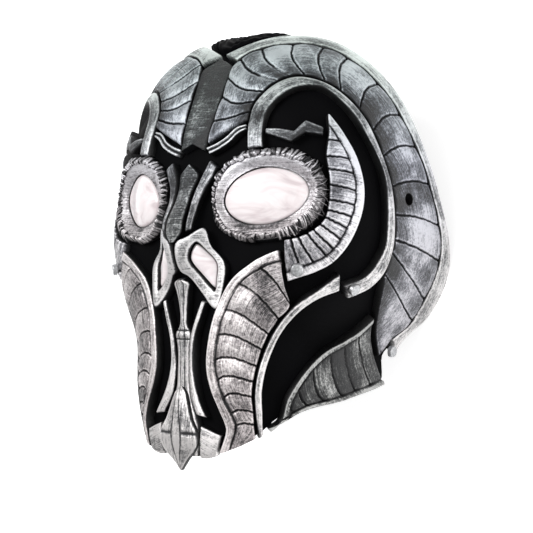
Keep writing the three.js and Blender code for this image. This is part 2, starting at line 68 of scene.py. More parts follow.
# height, how far the nose ridge stands out or the mouth's channel sinks, how wide it is
RIDGE = np.array([
    (-130, -2, 12), (-90, -3, 12), (-50, -3, 12), (-19, 2, 13), (-5, 7, 15), (6, 13.5, 16),
    (25, 15.5, 17.5), (38, 7.5, 15), (50, 2.5, 13), (66, 1.5, 12), (80, 0, 12), (160, 0, 12)])
SOCKET_DEPTH, SOCKET_X, SOCKET_Y, SOCKET_WIDE, SOCKET_HIGH = 13.0, 63.0, 42.0, 20.0, 22.0
print("face form", len(LEVELS), "levels and", len(RIDGE), "places down the middle")

# %% [markdown]
# A smooth curve runs through the rows of each table. A hump is a bell shape, and it stands for
# anything that is strongest in one place and dies away round it: a nose, a groove, a worn line.

# %% Smooth curves and humps


def through(table, place, column):
    """Smooth curve through a table's rows, read at each place."""
    xs, values = table[:, 0], table[:, column]
    place = np.clip(place, xs[0], xs[-1])
    slopes = np.gradient(values, xs)
    i = np.clip(np.searchsorted(xs, place, side="right") - 1, 0, len(xs) - 2)
    step = xs[i + 1] - xs[i]
    t = (place - xs[i]) / step
    rise = (t ** 3 - 2 * t ** 2 + t) * step * slopes[i]
    fall = (t ** 3 - t ** 2) * step * slopes[i + 1]
    blend = 3 * t ** 2 - 2 * t ** 3
    return values[i] * (1 - blend) + values[i + 1] * blend + rise + fall


def hump(distance, width):
    return np.exp(-(distance / width) ** 2)


print("nose ridge", through(RIDGE, np.arange(-130.0, 160.0), 1).max().round(1), "mm high")

# %% [markdown]
# A point of the face is found along a ray from the middle of the head. Halving the ray again and
# again closes in on the place where it leaves the head form, so the form may be any shape that
# each ray leaves only once.

# %% The bare face
SHORTEST_RAY, LONGEST_RAY, HALVINGS = 20.0, 260.0, 24


def is_inside_head(p):
    x, y, z = p[..., 0], p[..., 1], p[..., 2]
    climb = np.clip((y - CROWN_FROM) / (CROWN_TOP - CROWN_FROM), 0, 1)
    shrink = np.maximum(1 - climb ** CROWN_POWER, 1e-12) ** (1 / CROWN_POWER)
    front = through(LEVELS, y, 2) - WIDEST_Z
    depth = np.where(z > WIDEST_Z, front, BACK_DEPTH) * shrink
    square = through(LEVELS, y, 3)
    width = through(LEVELS, y, 1) * shrink
    return np.abs(x / width) ** square + np.abs((z - WIDEST_Z) / depth) ** square < 1


def features(x, y):
    """How far the face stands forward of the plain head form."""
    side = np.abs(x)
    nose = through(RIDGE, y, 1) * hump(side, through(RIDGE, y, 2))
    eye = SOCKET_DEPTH * hump(side - SOCKET_X, SOCKET_WIDE) * hump(y - SOCKET_Y, SOCKET_HIGH)
    return nose - eye


def bare_face(left, up):
    """The points of the bare face at (left, up) degrees, by halving along each ray."""
    away = np.radians(np.hypot(left, up))
    turn = np.arctan2(up, left)
    ray = np.stack([np.sin(away) * np.cos(turn), np.sin(away) * np.sin(turn), np.cos(away)], -1)
    near, far = np.full(away.shape, SHORTEST_RAY), np.full(away.shape, LONGEST_RAY)
    for _ in range(HALVINGS):
        reach = (near + far) / 2
        inside = is_inside_head(HEAD + ray * reach[..., None])
        near, far = np.where(inside, reach, near), np.where(inside, far, reach)
    points = HEAD + ray * near[..., None]
    points[..., 2] += features(points[..., 0], points[..., 1])
    return points


print("straight ahead the face is at", bare_face(np.zeros(1), np.zeros(1))[0].round(1), "mm")

# %% [markdown]
# Thousands of vertices ask for the same form, so it is solved once on a fine chart of angles and
# read back by interpolation. The chart also keeps the outward direction at each place, which says
# which way a plate gets its thickness.

# %% The chart of the face
CHART_STEP = 0.5
chart_left = np.arange(-112, 112.1, CHART_STEP)
chart_up = np.arange(-72, 112.1, CHART_STEP)
grid_left, grid_up = np.meshgrid(chart_left, chart_up, indexing="ij")
chart_points = bare_face(grid_left, grid_up)
across = np.gradient(chart_points, axis=0)
along = np.gradient(chart_points, axis=1)
chart_out = np.cross(across, along)
chart_out /= np.linalg.norm(chart_out, axis=-1, keepdims=True)


def read_chart(table, left, up):
    i = np.clip((left - chart_left[0]) / CHART_STEP, 0, len(chart_left) - 1.001)
    j = np.clip((up - chart_up[0]) / CHART_STEP, 0, len(chart_up) - 1.001)
    i0, j0 = i.astype(int), j.astype(int)
    fi, fj = (i - i0)[..., None], (j - j0)[..., None]
    low = table[i0, j0] * (1 - fi) + table[i0 + 1, j0] * fi
    high = table[i0, j0 + 1] * (1 - fi) + table[i0 + 1, j0 + 1] * fi
    return low * (1 - fj) + high * fj


def on_face(left, up, lift=0.0):
    """Places on the face, `lift` mm off it, in the wearer's frame in mm."""
    left, up = np.asarray(left, float), np.asarray(up, float)
    out = read_chart(chart_out, left, up)
    out /= np.linalg.norm(out, axis=-1, keepdims=True)
    return read_chart(chart_points, left, up) + out * np.asarray(lift, float)[..., None]


def to_frame(points):
    """From the wearer's frame in mm to the CAD frame in metres."""
    return (points + (0.0, -MIDDLE_HEIGHT, REST_DEPTH)) * MM


print("chart", chart_points.shape, "nose tip", to_frame(on_face(0, 0)).round(4))

# %% [markdown]
# A plate is a sheet of leather between two edge lines on the face. Each line is a smooth curve
# through a few places, so it needs only as many points as the eye follows along the real edge.
# The small functions after it say how leather ends: its edge is rounded, and paint wears off the
# cut itself but is rubbed bright just inside it, a line that is also a painted highlight where the
# rounded edge turns.

# %% Edge lines
RUBBED_HIGHLIGHT_MM, RUBBED_HIGHLIGHT_SHARE = 0.9, 0.45


def line(places, closed=False, start=0.0):
    """A smooth line through the places: t in 0..1 to (left, up), from `start` on."""
    p = np.array(places, float)
    if closed:
        p = np.vstack([p[-1:], p, p[:2]])
    else:
        p = np.vstack([2 * p[0] - p[1], p, 2 * p[-1] - p[-2]])
    spans = len(p) - 3

    def at(t):
        x = np.clip(start + np.asarray(t, float) * (1 - start), 0, 1) * spans
        i = np.clip(x.astype(int), 0, spans - 1)
        f = (x - i)[..., None]
        a, b, c, d = p[i], p[i + 1], p[i + 2], p[i + 3]
        return 0.5 * (2 * b + (c - a) * f + (2 * a - 5 * b + 4 * c - d) * f ** 2
                      + (3 * b - a - 3 * c + d) * f ** 3)
    return at


def smooth(x, low, high):
    t = np.clip((x - low) / (high - low), 0, 1)
    return t * t * (3 - 2 * t)


def worn_edge_and_highlight(distance):
    """Paint near a cut edge: none on the cut itself, then a thin rubbed bright line that is also a
    painted highlight.
    """
    rubbed_highlight = RUBBED_HIGHLIGHT_SHARE * hump(distance - RUBBED_HIGHLIGHT_MM, 0.4)
    return smooth(distance, 0.05, 0.5) * (1 + rubbed_highlight)


def rounded(distance, radius):
    """How far a rounded edge drops at a distance in from it."""
    x = np.clip(1 - distance / radius, 0, 1)
    return radius * (1 - np.sqrt(1 - x * x))


print("paint 0, 0.5 and 0.9 mm in from a cut", worn_edge_and_highlight(np.array([0.0, 0.5, 0.9])).round(2))

# %% [markdown]
# The sheets start as bmesh grids with a second layer extruded from them, still flat: x runs along
# the plate, y across it and z is 0 below and 1 on top. Rings and discs are spun from a profile in
# the same spirit. Only then is each vertex laid on the face. This keeps the shape a closed body,
# because the operators make the walls, and the mapping only moves what is there.

# %% Blocks that are laid on the face


def finish_block(bm, name):
    mesh = bpy.data.meshes.new(name)
    bm.to_mesh(mesh)
    bm.free()
    return mesh


def thickened(bm, name):
    """Turns flat sheets into closed ones, with their tops at z = 1."""
    made = bmesh.ops.extrude_face_region(bm, geom=bm.faces[:], use_keep_orig=True)
    top = [v for v in made["geom"] if isinstance(v, bmesh.types.BMVert)]
    bmesh.ops.translate(bm, verts=top, vec=(0, 0, 1))
    return finish_block(bm, name)


def sheet_block(name, cells_along, cells_across):
    bm = bmesh.new()
    bmesh.ops.create_grid(bm, x_segments=cells_along, y_segments=cells_across, size=0.5)
    bmesh.ops.translate(bm, verts=bm.verts, vec=(0.5, 0.5, 0))
    return thickened(bm, name)


def spun_block(name, profile, cells_round, closed):
    """Spins a profile of (radius, height) round Z; a closed profile makes a ring."""
    bm = bmesh.new()
    verts = [bm.verts.new((r, 0, z)) for r, z in profile]
    ends = verts[1:] + verts[:1] if closed else verts[1:]
    edges = [bm.edges.new(pair) for pair in zip(verts, ends)]
    bmesh.ops.spin(bm, geom=verts + edges, cent=(0, 0, 0), axis=(0, 0, 1),
                   angle=2 * math.pi, steps=cells_round, use_merge=True)
    bmesh.ops.remove_doubles(bm, verts=bm.verts, dist=1e-6)
    return finish_block(bm, name)


def ring_block(name, cells_round, cells_across):
    radii = [1 + i / cells_across for i in range(cells_across + 1)]
    profile = [(r, 0) for r in radii] + [(r, 1) for r in reversed(radii)]
    return spun_block(name, profile, cells_round, closed=True)


def disc_block(name, cells_round, cells_out):
    radii = [i / cells_out for i in range(cells_out + 1)]
    profile = [(r, 1) for r in radii] + [(r, 0) for r in reversed(radii)]
    return spun_block(name, profile, cells_round, closed=False)


def read_points(mesh):
    flat = np.empty(len(mesh.vertices) * 3)
    mesh.vertices.foreach_get("co", flat)
    return flat.reshape(-1, 3)


# %% [markdown]
# Laying a block on the face also writes two things for the paint. The attribute tone says how
# much silver sits on the leather, from 0 in a groove to 1 on a burnished edge, and it also
# carries painted highlights and painted shade. The UV map holds real lengths in metres, along
# and across the plate, so brush strokes follow its curve.

# %% Lay and paint a mesh


def write_paint(mesh, tone, along_mm, across_mm):
    layer = mesh.attributes.new("tone", "FLOAT", "POINT")
    layer.data.foreach_set("value", np.asarray(tone, np.float32))
    corner = np.empty(len(mesh.loops), int)
    mesh.loops.foreach_get("vertex_index", corner)
    uv = np.stack([along_mm[corner], across_mm[corner]], 1) * MM
    mesh.uv_layers.new(name="Lengths").data.foreach_set("uv", uv.ravel())


def turn_faces_out(mesh):
    bm = bmesh.new()
    bm.from_mesh(mesh)
    bmesh.ops.recalc_face_normals(bm, faces=bm.faces)
    bm.to_mesh(mesh)
    bm.free()


def laid(mesh, where, lift, tone, along_mm, across_mm):
    """Moves each vertex to its (left, up) place, `lift` mm off the face, and paints it."""
    points = to_frame(on_face(where[:, 0], where[:, 1], lift))
    mesh.vertices.foreach_set("co", points.ravel())
    write_paint(mesh, tone, along_mm, across_mm)
    mesh.update()
    turn_faces_out(mesh)
    return mesh


# %% [markdown]
# Three ways to finish a body: bisect_plane cuts it flat where it lies on the table, a Boolean
# modifier takes holes out of it, and joining puts loose bodies into one piece. The exact solver is
# the slow one, and it keeps clean edges where two curved skins meet.

# %% Cut, bore and join


def cut_at_table(mesh):
    """Takes away what would reach below the plane that the mask lies on."""
    bm = bmesh.new()
    bm.from_mesh(mesh)
    cut = bmesh.ops.bisect_plane(bm, geom=bm.verts[:] + bm.edges[:] + bm.faces[:], dist=1e-7,
                                 plane_co=(0, 0, 0), plane_no=(0, 0, -1), clear_outer=True)
    rim = [part for part in cut["geom_cut"] if isinstance(part, bmesh.types.BMEdge)]
    bmesh.ops.holes_fill(bm, edges=rim, sides=0)
    bm.to_mesh(mesh)
    bm.free()


def bored(mesh, *cutters):
    """The mesh with each cutter taken out of it."""
    scene = bpy.context.scene.collection
    body = bpy.data.objects.new("body", mesh)
    scene.objects.link(body)
    tools = []
    for cutter in cutters:
        tool = bpy.data.objects.new("cutter", cutter)
        scene.objects.link(tool)
        tools.append(tool)
        cut = body.modifiers.new("cut", "BOOLEAN")
        cut.operation, cut.solver, cut.object = "DIFFERENCE", "EXACT", tool
    bpy.context.view_layer.update()
    whole = body.evaluated_get(bpy.context.evaluated_depsgraph_get())
    made = bpy.data.meshes.new_from_object(whole)
    for spare in (body, *tools):
        bpy.data.objects.remove(spare)
    return made


def joined(name, *meshes):
    bm = bmesh.new()
    for mesh in meshes:
        bm.from_mesh(mesh)
    return finish_block(bm, name)


# %% [markdown]
# Each finished mesh becomes one object at the origin, which takes the place of one CAD node. Most
# pieces come in pairs, so the right one is a mirror image of the left. Mirroring turns the faces
# inside out, so they are turned back.

# %% Pieces and pairs
ROOT = "root"
SHARP_FROM = math.radians(48)
pieces = []


def add_piece(name, mesh, material, slot, *nodes):
    """Puts a finished mesh in the scene as the piece that replaces its CAD nodes."""
    piece = bpy.data.objects.new(name, mesh)
    bpy.context.scene.collection.objects.link(piece)
    mesh.materials.clear()
    mesh.materials.append(material)
    mesh.polygons.foreach_set("use_smooth", np.ones(len(mesh.polygons), bool))
    mesh.set_sharp_from_angle(angle=SHARP_FROM)
    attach(piece, ROOT)
    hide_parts(*nodes)
    pieces.append(name)


def mirrored(mesh, name):
    bm = bmesh.new()
    bm.from_mesh(mesh)
    bmesh.ops.scale(bm, verts=bm.verts, vec=(-1, 1, 1))
    bmesh.ops.reverse_faces(bm, faces=bm.faces)
    return finish_block(bm, name)


def add_pair(stem, mesh, material, slot):
    """The left piece and its mirror for the wearer's right side."""
    right = mirrored(mesh, f"{stem}_right")
    add_piece(f"dressed_{stem}_left", mesh, material, slot, f"{stem}_left")
    add_piece(f"dressed_{stem}_right", right, material, slot, f"{stem}_right")
    print(stem, "pair,", len(mesh.polygons), "faces each")


# %% [markdown]
# To shape and paint a plate, each vertex has to know where it is: how far along and across, and
# how many millimetres from each edge and from the nearest tooling line. Real lengths matter,
# because a groove is as wide on a small plate as on a big one.

# %% Where a vertex is on its plate
FAR_AWAY = 9.0
WAVER_MM = 0.22


class Spot:
    """Where each vertex of a plate is: along t, across v, and in mm from each edge."""

    def __init__(self, t, v, per_t, per_v):
        self.t, self.v, self.per_t, self.per_v = t, v, per_t, per_v
        self.start, self.end = t * per_t, (1 - t) * per_t
        self.outer, self.inner = v * per_v, (1 - v) * per_v

    def between(self, grooves):
        """Distance in mm to the nearest groove, place within the segment, and its number."""
        lines = np.array([0.0, *grooves, 1.0])
        # the knife wavered a little as it crossed the leather
        waver = WAVER_MM * np.sin(self.outer * 1.7 + 3 * np.sin(self.outer * 0.45))
        t = np.clip(self.t + waver / self.per_t, 0, 1)
        segment = np.clip(np.searchsorted(lines, t, side="right") - 1, 0, len(lines) - 2)
        start, end = lines[segment], lines[segment + 1]
        near = np.minimum(np.where(segment > 0, t - start, FAR_AWAY),
                          np.where(segment < len(lines) - 2, end - t, FAR_AWAY))
        return near * self.per_t, (t - start) / (end - start), segment

    def edge(self, radius, ends=True):
        sides = rounded(np.minimum(self.outer, self.inner), radius)
        return sides + (rounded(np.minimum(self.start, self.end), radius) if ends else 0)

    # bare cut at the sides, then a rubbed line that is also a painted highlight
    def wear_and_painted_light(self):
        return worn_edge_and_highlight(np.minimum(self.outer, self.inner))


# %% [markdown]
# Laying a plate is a mapping. A vertex slides to its place between the two edge lines, a seam is
# left round it, and it is then lifted off the face by the plate's own relief. Rows are crowded
# towards both edges, where the leather turns over.

# %% Lay a plate
PLATE_TOP, PLATE_UNDER = 4.2, -0.7
CROWD = 0.45
SMALL_STEP = 0.002


def lay_plate(name, outer, inner, cells, relief, bow=None, seam=0.2, inner_start=0.0):
    """A leather sheet between two edge lines. relief(spot) gives its height in mm and tone."""
    mesh = sheet_block(name, *cells)
    block = read_points(mesh)
    t, row, top = block[:, 0], block[:, 1], block[:, 2] > 0.5
    v = (1 - CROWD) * row + CROWD * (1 - np.cos(np.pi * row)) / 2
    outer_line, inner_line = line(outer), line(inner, start=inner_start)

    def place(t, v):
        a, b = outer_line(t), inner_line(t)
        width = np.linalg.norm(b - a, axis=-1) + 1e-6
        inset = np.minimum(seam / 2 / width, 0.3)
        mixed = a + (b - a) * (inset + v * (1 - 2 * inset))[..., None]
        if bow is None:
            return mixed
        run = outer_line(np.minimum(t + 0.01, 1)) - outer_line(np.maximum(t - 0.01, 0))
        run /= np.linalg.norm(run, axis=-1, keepdims=True) + 1e-9
        return mixed - run * (bow(t) * np.sin(np.pi * v))[..., None]

    step = SMALL_STEP
    here = place(t, v)
    ahead = on_face(*place(t + step, v).T) - on_face(*place(t - step, v).T)
    aside = on_face(*place(t, v + step).T) - on_face(*place(t, v - step).T)
    per_t = np.linalg.norm(ahead, axis=-1) / (2 * step)
    per_v = np.linalg.norm(aside, axis=-1) / (2 * step)
    # past either end the line stands still, so only half of the step was measured there
    ends = (t < step) | (t > 1 - step)
    per_t = np.where(ends, per_t * 2, per_t)
    spot = Spot(t, v, per_t, per_v)
    height, tone = relief(spot)
    return laid(mesh, here, np.where(top, height, PLATE_UNDER), np.where(top, tone, 0.0),
                t * per_t.mean(), v * per_v)


# %% [markdown]
# A spun block is laid in the same way, by its turn round the middle and its distance out. Its
# paint needs lengths too, and near the eyes a degree on the face is about 2.3 mm.

# %% Lay a spun block
ROUND_DEGREE_MM = 2.3


def lay_round(mesh, place, relief):
    """Lays a spun block: place(turn, r) gives (left, up), relief gives height and tone."""
    p = read_points(mesh)
    turn = (np.arctan2(p[:, 1], p[:, 0]) / (2 * np.pi)) % 1.0
    radius = np.hypot(p[:, 0], p[:, 1])
    top = p[:, 2] > 0.5
    where = place(turn, radius)
    height, tone = relief(turn, radius)
    bottom, _ = relief(turn, radius, below=True)
    along_mm, across_mm = where.T * ROUND_DEGREE_MM
    return laid(mesh, where, np.where(top, height, bottom), np.where(top, tone, 0.0),
                along_mm, across_mm)


# %% [markdown]
# Materials start from what the real thing is. Colours are given as sRGB hex values, and one
# function turns them to the linear values that Blender works in. One small function adds any node.
# It takes inputs by their names, or by number as i0, i1 where several share a name.

# %% Colour and node helpers


def srgb(hexcode):
    channels = [int(hexcode[i:i + 2], 16) / 255 for i in (1, 3, 5)]
    linear = [c / 12.92 if c <= 0.04045 else ((c + 0.055) / 1.055) ** 2.4 for c in channels]
    return (*linear, 1.0)


def new_material(name):
    material = bpy.data.materials.new(name)
    material.use_nodes = True
    tree = material.node_tree
    return material, tree, tree.nodes["Principled BSDF"]


def fill(tree, made, **inputs):
    """Sets each input to a value, or links it where an output is given."""
    for key, value in inputs.items():
        name = int(key[1:]) if key[1:].isdigit() else key.replace("_", " ")
        socket = made.inputs[name]
        if isinstance(value, bpy.types.NodeSocket):
            tree.links.new(value, socket)
        else:
            socket.default_value = value


def node(tree, kind, settings=None, stops=(), **inputs):
    """Adds a node, sets its properties and colour stops, and fills its inputs."""
    made = tree.nodes.new(kind)
    for key, value in (settings or {}).items():
        setattr(made, key, value)
    fill(tree, made, **inputs)
    for number, (place, hexcode) in enumerate(stops):
        bands = made.color_ramp.elements
        band = bands[number] if number < len(bands) else bands.new(place)
        band.position, band.color = place, srgb(hexcode)
    return made


# %% [markdown]
# The shell is vegetable-tanned leather, wetted, moulded and dyed black right through. Its surface
# is matt and nearly swallows the light, with a fine pebbled grain about 0.8 mm across that only
# shows where light grazes it.

# %% Black moulded leather
GRAIN_MM, RUB_MM = 0.8, 25.0


def black_leather():
    material, tree, shader = new_material("dyed_black_moulded_leather")
    spot = node(tree, "ShaderNodeTexCoord").outputs["Object"]
    grain = node(tree, "ShaderNodeTexVoronoi", {"feature": "SMOOTH_F1"},
                 Vector=spot, Scale=1 / (GRAIN_MM * 1.6 * MM)).outputs["Distance"]
    rub = node(tree, "ShaderNodeTexNoise", Vector=spot, Scale=1 / (RUB_MM * MM),
               Detail=6.0).outputs["Fac"]
    # faint grey rubs where the dye has worn, so the black isn't one flat value
    colour = node(tree, "ShaderNodeValToRGB", Fac=rub,
                  stops=[(0.35, "#030304"), (0.75, "#08080a")]).outputs["Color"]
    # uneven roughness breaks up the sheen on the curves
    rough = node(tree, "ShaderNodeMapRange", Value=rub, To_Min=0.6, To_Max=0.8).outputs[0]
    bump = node(tree, "ShaderNodeBump", Height=grain, Strength=0.2, Distance=0.0003).outputs[0]
    # the dye is matt, so the sheen is far weaker than on bare leather
    fill(tree, shader, Base_Color=colour, Roughness=rough, Normal=bump, Specular_IOR_Level=0.04)
    return material


# %% [markdown]
# The plates are the same leather under silver acrylic paint that was dragged on with a nearly
# dry brush. The paint catches the high places and the strokes run with the plate, so the base
# coat shows as dark streaks and specks. The tone attribute sets how bright the coat is, and it
# also carries painted highlights and painted shade. The flakes in the paint mirror the room, so
# a plate is bright or dark by where it faces, and a tint goes from warm at the chin to a darker,
# cold green-grey at the crown.

# %% Silver paint on tooled leather
STROKE_LONG_MM, STROKE_WIDE_MM, FLECK_MM, PATCH_MM = 14.0, 0.8, 1.7, 22.0
PAINT_SHIFT = -1.8


def silver_leather(name, dark, middle, light, strokes_across=False):
    material, tree, shader = new_material(name)
    lengths = node(tree, "ShaderNodeUVMap", {"uv_map": "Lengths"}).outputs[0]
    spot = node(tree, "ShaderNodeTexCoord").outputs["Object"]
    tone = node(tree, "ShaderNodeAttribute", {"attribute_name": "tone"}).outputs["Fac"]
    # brush strokes: noise drawn out along the plate
    long, wide = 1 / (STROKE_LONG_MM * MM), 1 / (STROKE_WIDE_MM * MM)
    scale = (wide, long, 1) if strokes_across else (long, wide, 1)
    stretched = node(tree, "ShaderNodeMapping", Vector=lengths, Scale=scale).outputs[0]
    stroke = node(tree, "ShaderNodeTexNoise", Vector=stretched, Scale=1.0, Detail=5.0,
                  Roughness=0.7).outputs["Fac"]
    # specks where the dry brush skipped, and patches of thick and thin paint
    fleck = node(tree, "ShaderNodeTexNoise", Vector=spot, Scale=1 / (FLECK_MM * MM), Detail=6.0,
                 Roughness=0.72, Distortion=0.5).outputs["Fac"]
    patch = node(tree, "ShaderNodeTexNoise", Vector=spot, Scale=1 / (PATCH_MM * MM), Detail=2.0,
                 Distortion=0.4).outputs["Fac"]
    # the three together, round zero: more paint above it, less below
    coat = patch
    for part, share, shift in ((patch, 1.1, PAINT_SHIFT), (stroke, 1.3, None), (fleck, 1.2, None)):
        coat = node(tree, "ShaderNodeMath", {"operation": "MULTIPLY_ADD"}, i0=part, i1=share,
                    i2=coat if shift is None else shift).outputs[0]
    grip = node(tree, "ShaderNodeMath", {"operation": "MULTIPLY", "use_clamp": True},
                i0=tone, i1=2.6).outputs[0]
    amount = node(tree, "ShaderNodeMath", {"operation": "MULTIPLY_ADD", "use_clamp": True},
                  i0=coat, i1=grip, i2=tone).outputs[0]
    colour = node(tree, "ShaderNodeValToRGB", Fac=amount,
                  stops=[(0.0, "#060607"), (0.22, "#151518"), (0.38, dark), (0.62, middle),
                         (0.88, light)]).outputs["Color"]
    # the colour is multiplied darker and greener towards the crown, by height alone
    height = node(tree, "ShaderNodeSeparateXYZ", Vector=spot).outputs["Y"]
    up = node(tree, "ShaderNodeMapRange", Value=height, From_Min=-0.1, From_Max=0.11).outputs[0]
    cast = node(tree, "ShaderNodeValToRGB", Fac=up,
                stops=[(0.0, "#faf6f5"), (0.45, "#f8f6f6"), (0.7, "#e4e5ea"),
                       (1.0, "#d2dbd7")]).outputs["Color"]
    tinted = node(tree, "ShaderNodeMix", {"data_type": "RGBA", "blend_type": "MULTIPLY"},
                  i0=1.0, i6=colour, i7=cast).outputs[2]
    # thick paint acts as metal, bare leather doesn't
    metal = node(tree, "ShaderNodeMapRange", Value=amount, From_Min=0.18, From_Max=0.5,
                 To_Min=0.0, To_Max=0.85).outputs[0]
    # thick paint is burnished, thin paint is dusty
    rough = node(tree, "ShaderNodeMapRange", Value=coat, From_Min=-0.4, From_Max=0.4,
                 To_Min=0.55, To_Max=0.3).outputs[0]
    bump = node(tree, "ShaderNodeBump", Height=coat, Strength=0.6, Distance=0.0005).outputs[0]
    fill(tree, shader, Base_Color=tinted, Metallic=metal, Roughness=rough, Normal=bump)
    return material


# %% [markdown]
# The eye inserts and the nostril gems are cast acrylic with a pearl pigment: nearly white, with
# faint pink-grey swirls from pouring, under a glossy skin.

# %% Pearly cast acrylic
ACRYLIC_IOR = 1.49


def pearl_acrylic():
    material, tree, shader = new_material("pearl_cast_acrylic")
    spot = node(tree, "ShaderNodeTexCoord").outputs["Object"]
    # the pour leaves long flat swirls, wider than they are high
    squashed = node(tree, "ShaderNodeMapping", Vector=spot, Scale=(22, 60, 30)).outputs[0]
    swirl = node(tree, "ShaderNodeTexNoise", Vector=squashed, Scale=1.4, Detail=3.0,
                 Distortion=1.8).outputs["Fac"]
    colour = node(tree, "ShaderNodeValToRGB", Fac=swirl,
                  stops=[(0.3, "#cfc3c5"), (0.46, "#e3dadb"), (0.6, "#ece5e6"),
                         (0.75, "#f4efef")]).outputs["Color"]
    fill(tree, shader, Base_Color=colour, Roughness=0.3, IOR=ACRYLIC_IOR)
    # a thin clear skin from polishing
    fill(tree, shader, Coat_Weight=0.25, Coat_Roughness=0.08)
    # light goes a little way in and softens the rim
    fill(tree, shader, Subsurface_Weight=0.1, Subsurface_Radius=(0.004, 0.003, 0.003))
    return material


# %% [markdown]
# The rivets are nickel-plated steel caps, worn satin by handling.

# %% Satin nickel rivet


def satin_nickel():
    material, tree, shader = new_material("satin_nickel_rivet")
    spot = node(tree, "ShaderNodeTexCoord").outputs["Object"]
    wear_and_painted_light = node(tree, "ShaderNodeTexNoise", Vector=spot, Scale=900.0, Detail=4.0).outputs["Fac"]
    colour = node(tree, "ShaderNodeValToRGB", Fac=wear_and_painted_light,
                  stops=[(0.3, "#8f9092"), (0.7, "#c9cacc")]).outputs["Color"]
    # scratches from use make some of the cap duller
    rough = node(tree, "ShaderNodeMapRange", Value=wear_and_painted_light, To_Min=0.28, To_Max=0.46).outputs[0]
    fill(tree, shader, Base_Color=colour, Metallic=0.85, Roughness=rough)
    return material


# %% [markdown]
# One silver paint serves five kinds of plate. Each has its own three greys, from thin paint to
# thick, because the plates were painted and rubbed down one by one.

# %% The materials of the mask
BLACK = black_leather()
HORN = silver_leather("silver_paint_on_horn_leather", "#46474b", "#83858b", "#cfd0d6")
RIB = silver_leather("silver_paint_on_rayed_leather", "#55565a", "#9d9da1", "#ececee",
                     strokes_across=True)
CHEEK = silver_leather("silver_paint_on_ribbed_leather", "#565455", "#aeaaab", "#f0eded")
EDGE = silver_leather("bright_silver_on_leather_band", "#48494b", "#98999a", "#e6e6e6")
DARK = silver_leather("dark_silver_on_leather", "#242526", "#5b5d5d", "#aeb1b0",
                      strokes_across=True)
PEARL = pearl_acrylic()
NICKEL = satin_nickel()
print("materials", [m.name for m in bpy.data.materials])

# %% [markdown]
# The edge lines of the plates, as (left, up) degrees on the face. They are the same lines that the
# CAD plates follow, so each dressed piece lands on its node.

# %% Places of the plates
HORN_EDGE = [(0.6, 50.3), (16.5, 57.4), (30.5, 59.5), (53, 50.2), (75, 29), (92.2, -8), (84, -41),
             (56.5, -53.8)]
HORN_GROOVE = [(4.5, 26.8), (5.5, 38.8), (6.4, 47.9), (18.2, 52.9), (32, 54), (51, 46),
               (70.5, 28.5), (84.3, -4), (73, -38.6), (58.4, -45)]
HORN_INNER = [(15.8, 31.7), (16, 36.4), (19.7, 41.3), (25.6, 43.6), (35, 41.7), (45.2, 34.8),
              (54.6, 20.5), (57.7, 4.3), (55.6, -6.6), (49.5, -47.9)]
STRAP_OUTER = [(16.8, 24.9), (16, 31.6), (16.4, 36.2), (20.1, 41), (25.9, 43.1), (34.7, 41.4),
               (44.8, 34.5), (54.1, 20.3), (57.3, 4.3), (55.3, -6.3), (50, -11.9), (42.6, -14)]
STRAP_INNER = [(20.8, 25.3), (20.1, 31.2), (20.8, 35.3), (23.8, 39), (28, 40.8), (33.2, 40.1),
               (42.2, 33.8), (51.4, 21.9), (54.1, 4.3), (51.9, -3), (47.8, -7.8), (41.8, -9.5)]
CRESCENT_OUTER = [(34.6, 34.2), (39, 29.9), (43.1, 24.4), (45.7, 17.3), (45.9, 10.2), (43.8, 3.1),
                  (40.1, -2.4), (35.6, -5.4), (28.9, -8)]
CRESCENT_INNER = [(34, 34), (35.3, 29.2), (35.6, 23.5), (36.9, 17.7), (37.4, 11), (36.7, 7),
                  (33.8, 4.1), (31, 2.7), (28, 2)]
TRIM_UPPER = [(4.2, 25.9), (7.1, 26.8), (10, 28.1), (12.8, 30.3), (15.5, 30.9)]
TRIM_LOWER = [(5.8, 24.1), (9, 25.2), (11.8, 26.7), (13.6, 28.3), (15.7, 29.3)]
ZIGZAG_UPPER = [(20.9, 29.6), (24.4, 29.5), (27.5, 29.1), (28, 29.3), (29.7, 31.6), (30.2, 31.7),
                (34, 30.7)]
ZIGZAG_LOWER = [(21, 28.1), (23.9, 27.3), (26.9, 26.4), (27.5, 26.5), (30.1, 28.5), (30.7, 28.6),
                (34.3, 28.5)]
CHEEK_FRONT = [(26.9, -0.3), (23.5, -1.7), (20.1, -3.6), (14.5, -8), (10.4, -14.9), (8.4, -20.9),
               (7.6, -26.6), (8.4, -30.9), (9.9, -34.5), (10.9, -37.2), (10.8, -38.9),
               (9.1, -41.8)]
CHEEK_REAR = [(27.7, -3.9), (28.1, -9.2), (28.5, -14), (25.3, -17.4), (22.3, -21.1),
              (20.2, -24.8), (18.7, -28.3), (17.7, -31.1), (17.1, -33.7), (16.8, -36.5),
              (16.3, -39.3), (16, -41.4)]
BAND_OUTER = [(40.4, -11.1), (35, -12.7), (30, -16), (25.1, -21.1), (21.3, -27.5), (19.3, -32.7),
              (18.4, -36.9), (17.3, -41.3)]
BAND_INNER = [(40.8, -6.2), (35.3, -10.1), (29.1, -14.2), (23.5, -20.3), (19.7, -26.7),
              (17.7, -32.3), (16.9, -36.7), (16.3, -41.5)]
JAW_TOP = [(18.3, -40.2), (20.7, -40.3), (23.6, -36.1), (28.3, -32.8), (33.7, -30.7),
           (39.7, -30.3), (45.5, -29.1), (51.5, -25.9)]
JAW_BOTTOM = [(18.6, -41.4), (22.6, -40.8), (25.7, -41.5), (28.9, -43.3), (33.1, -46.7),
              (37.9, -50.6), (42.7, -54.9), (46.7, -58.1)]
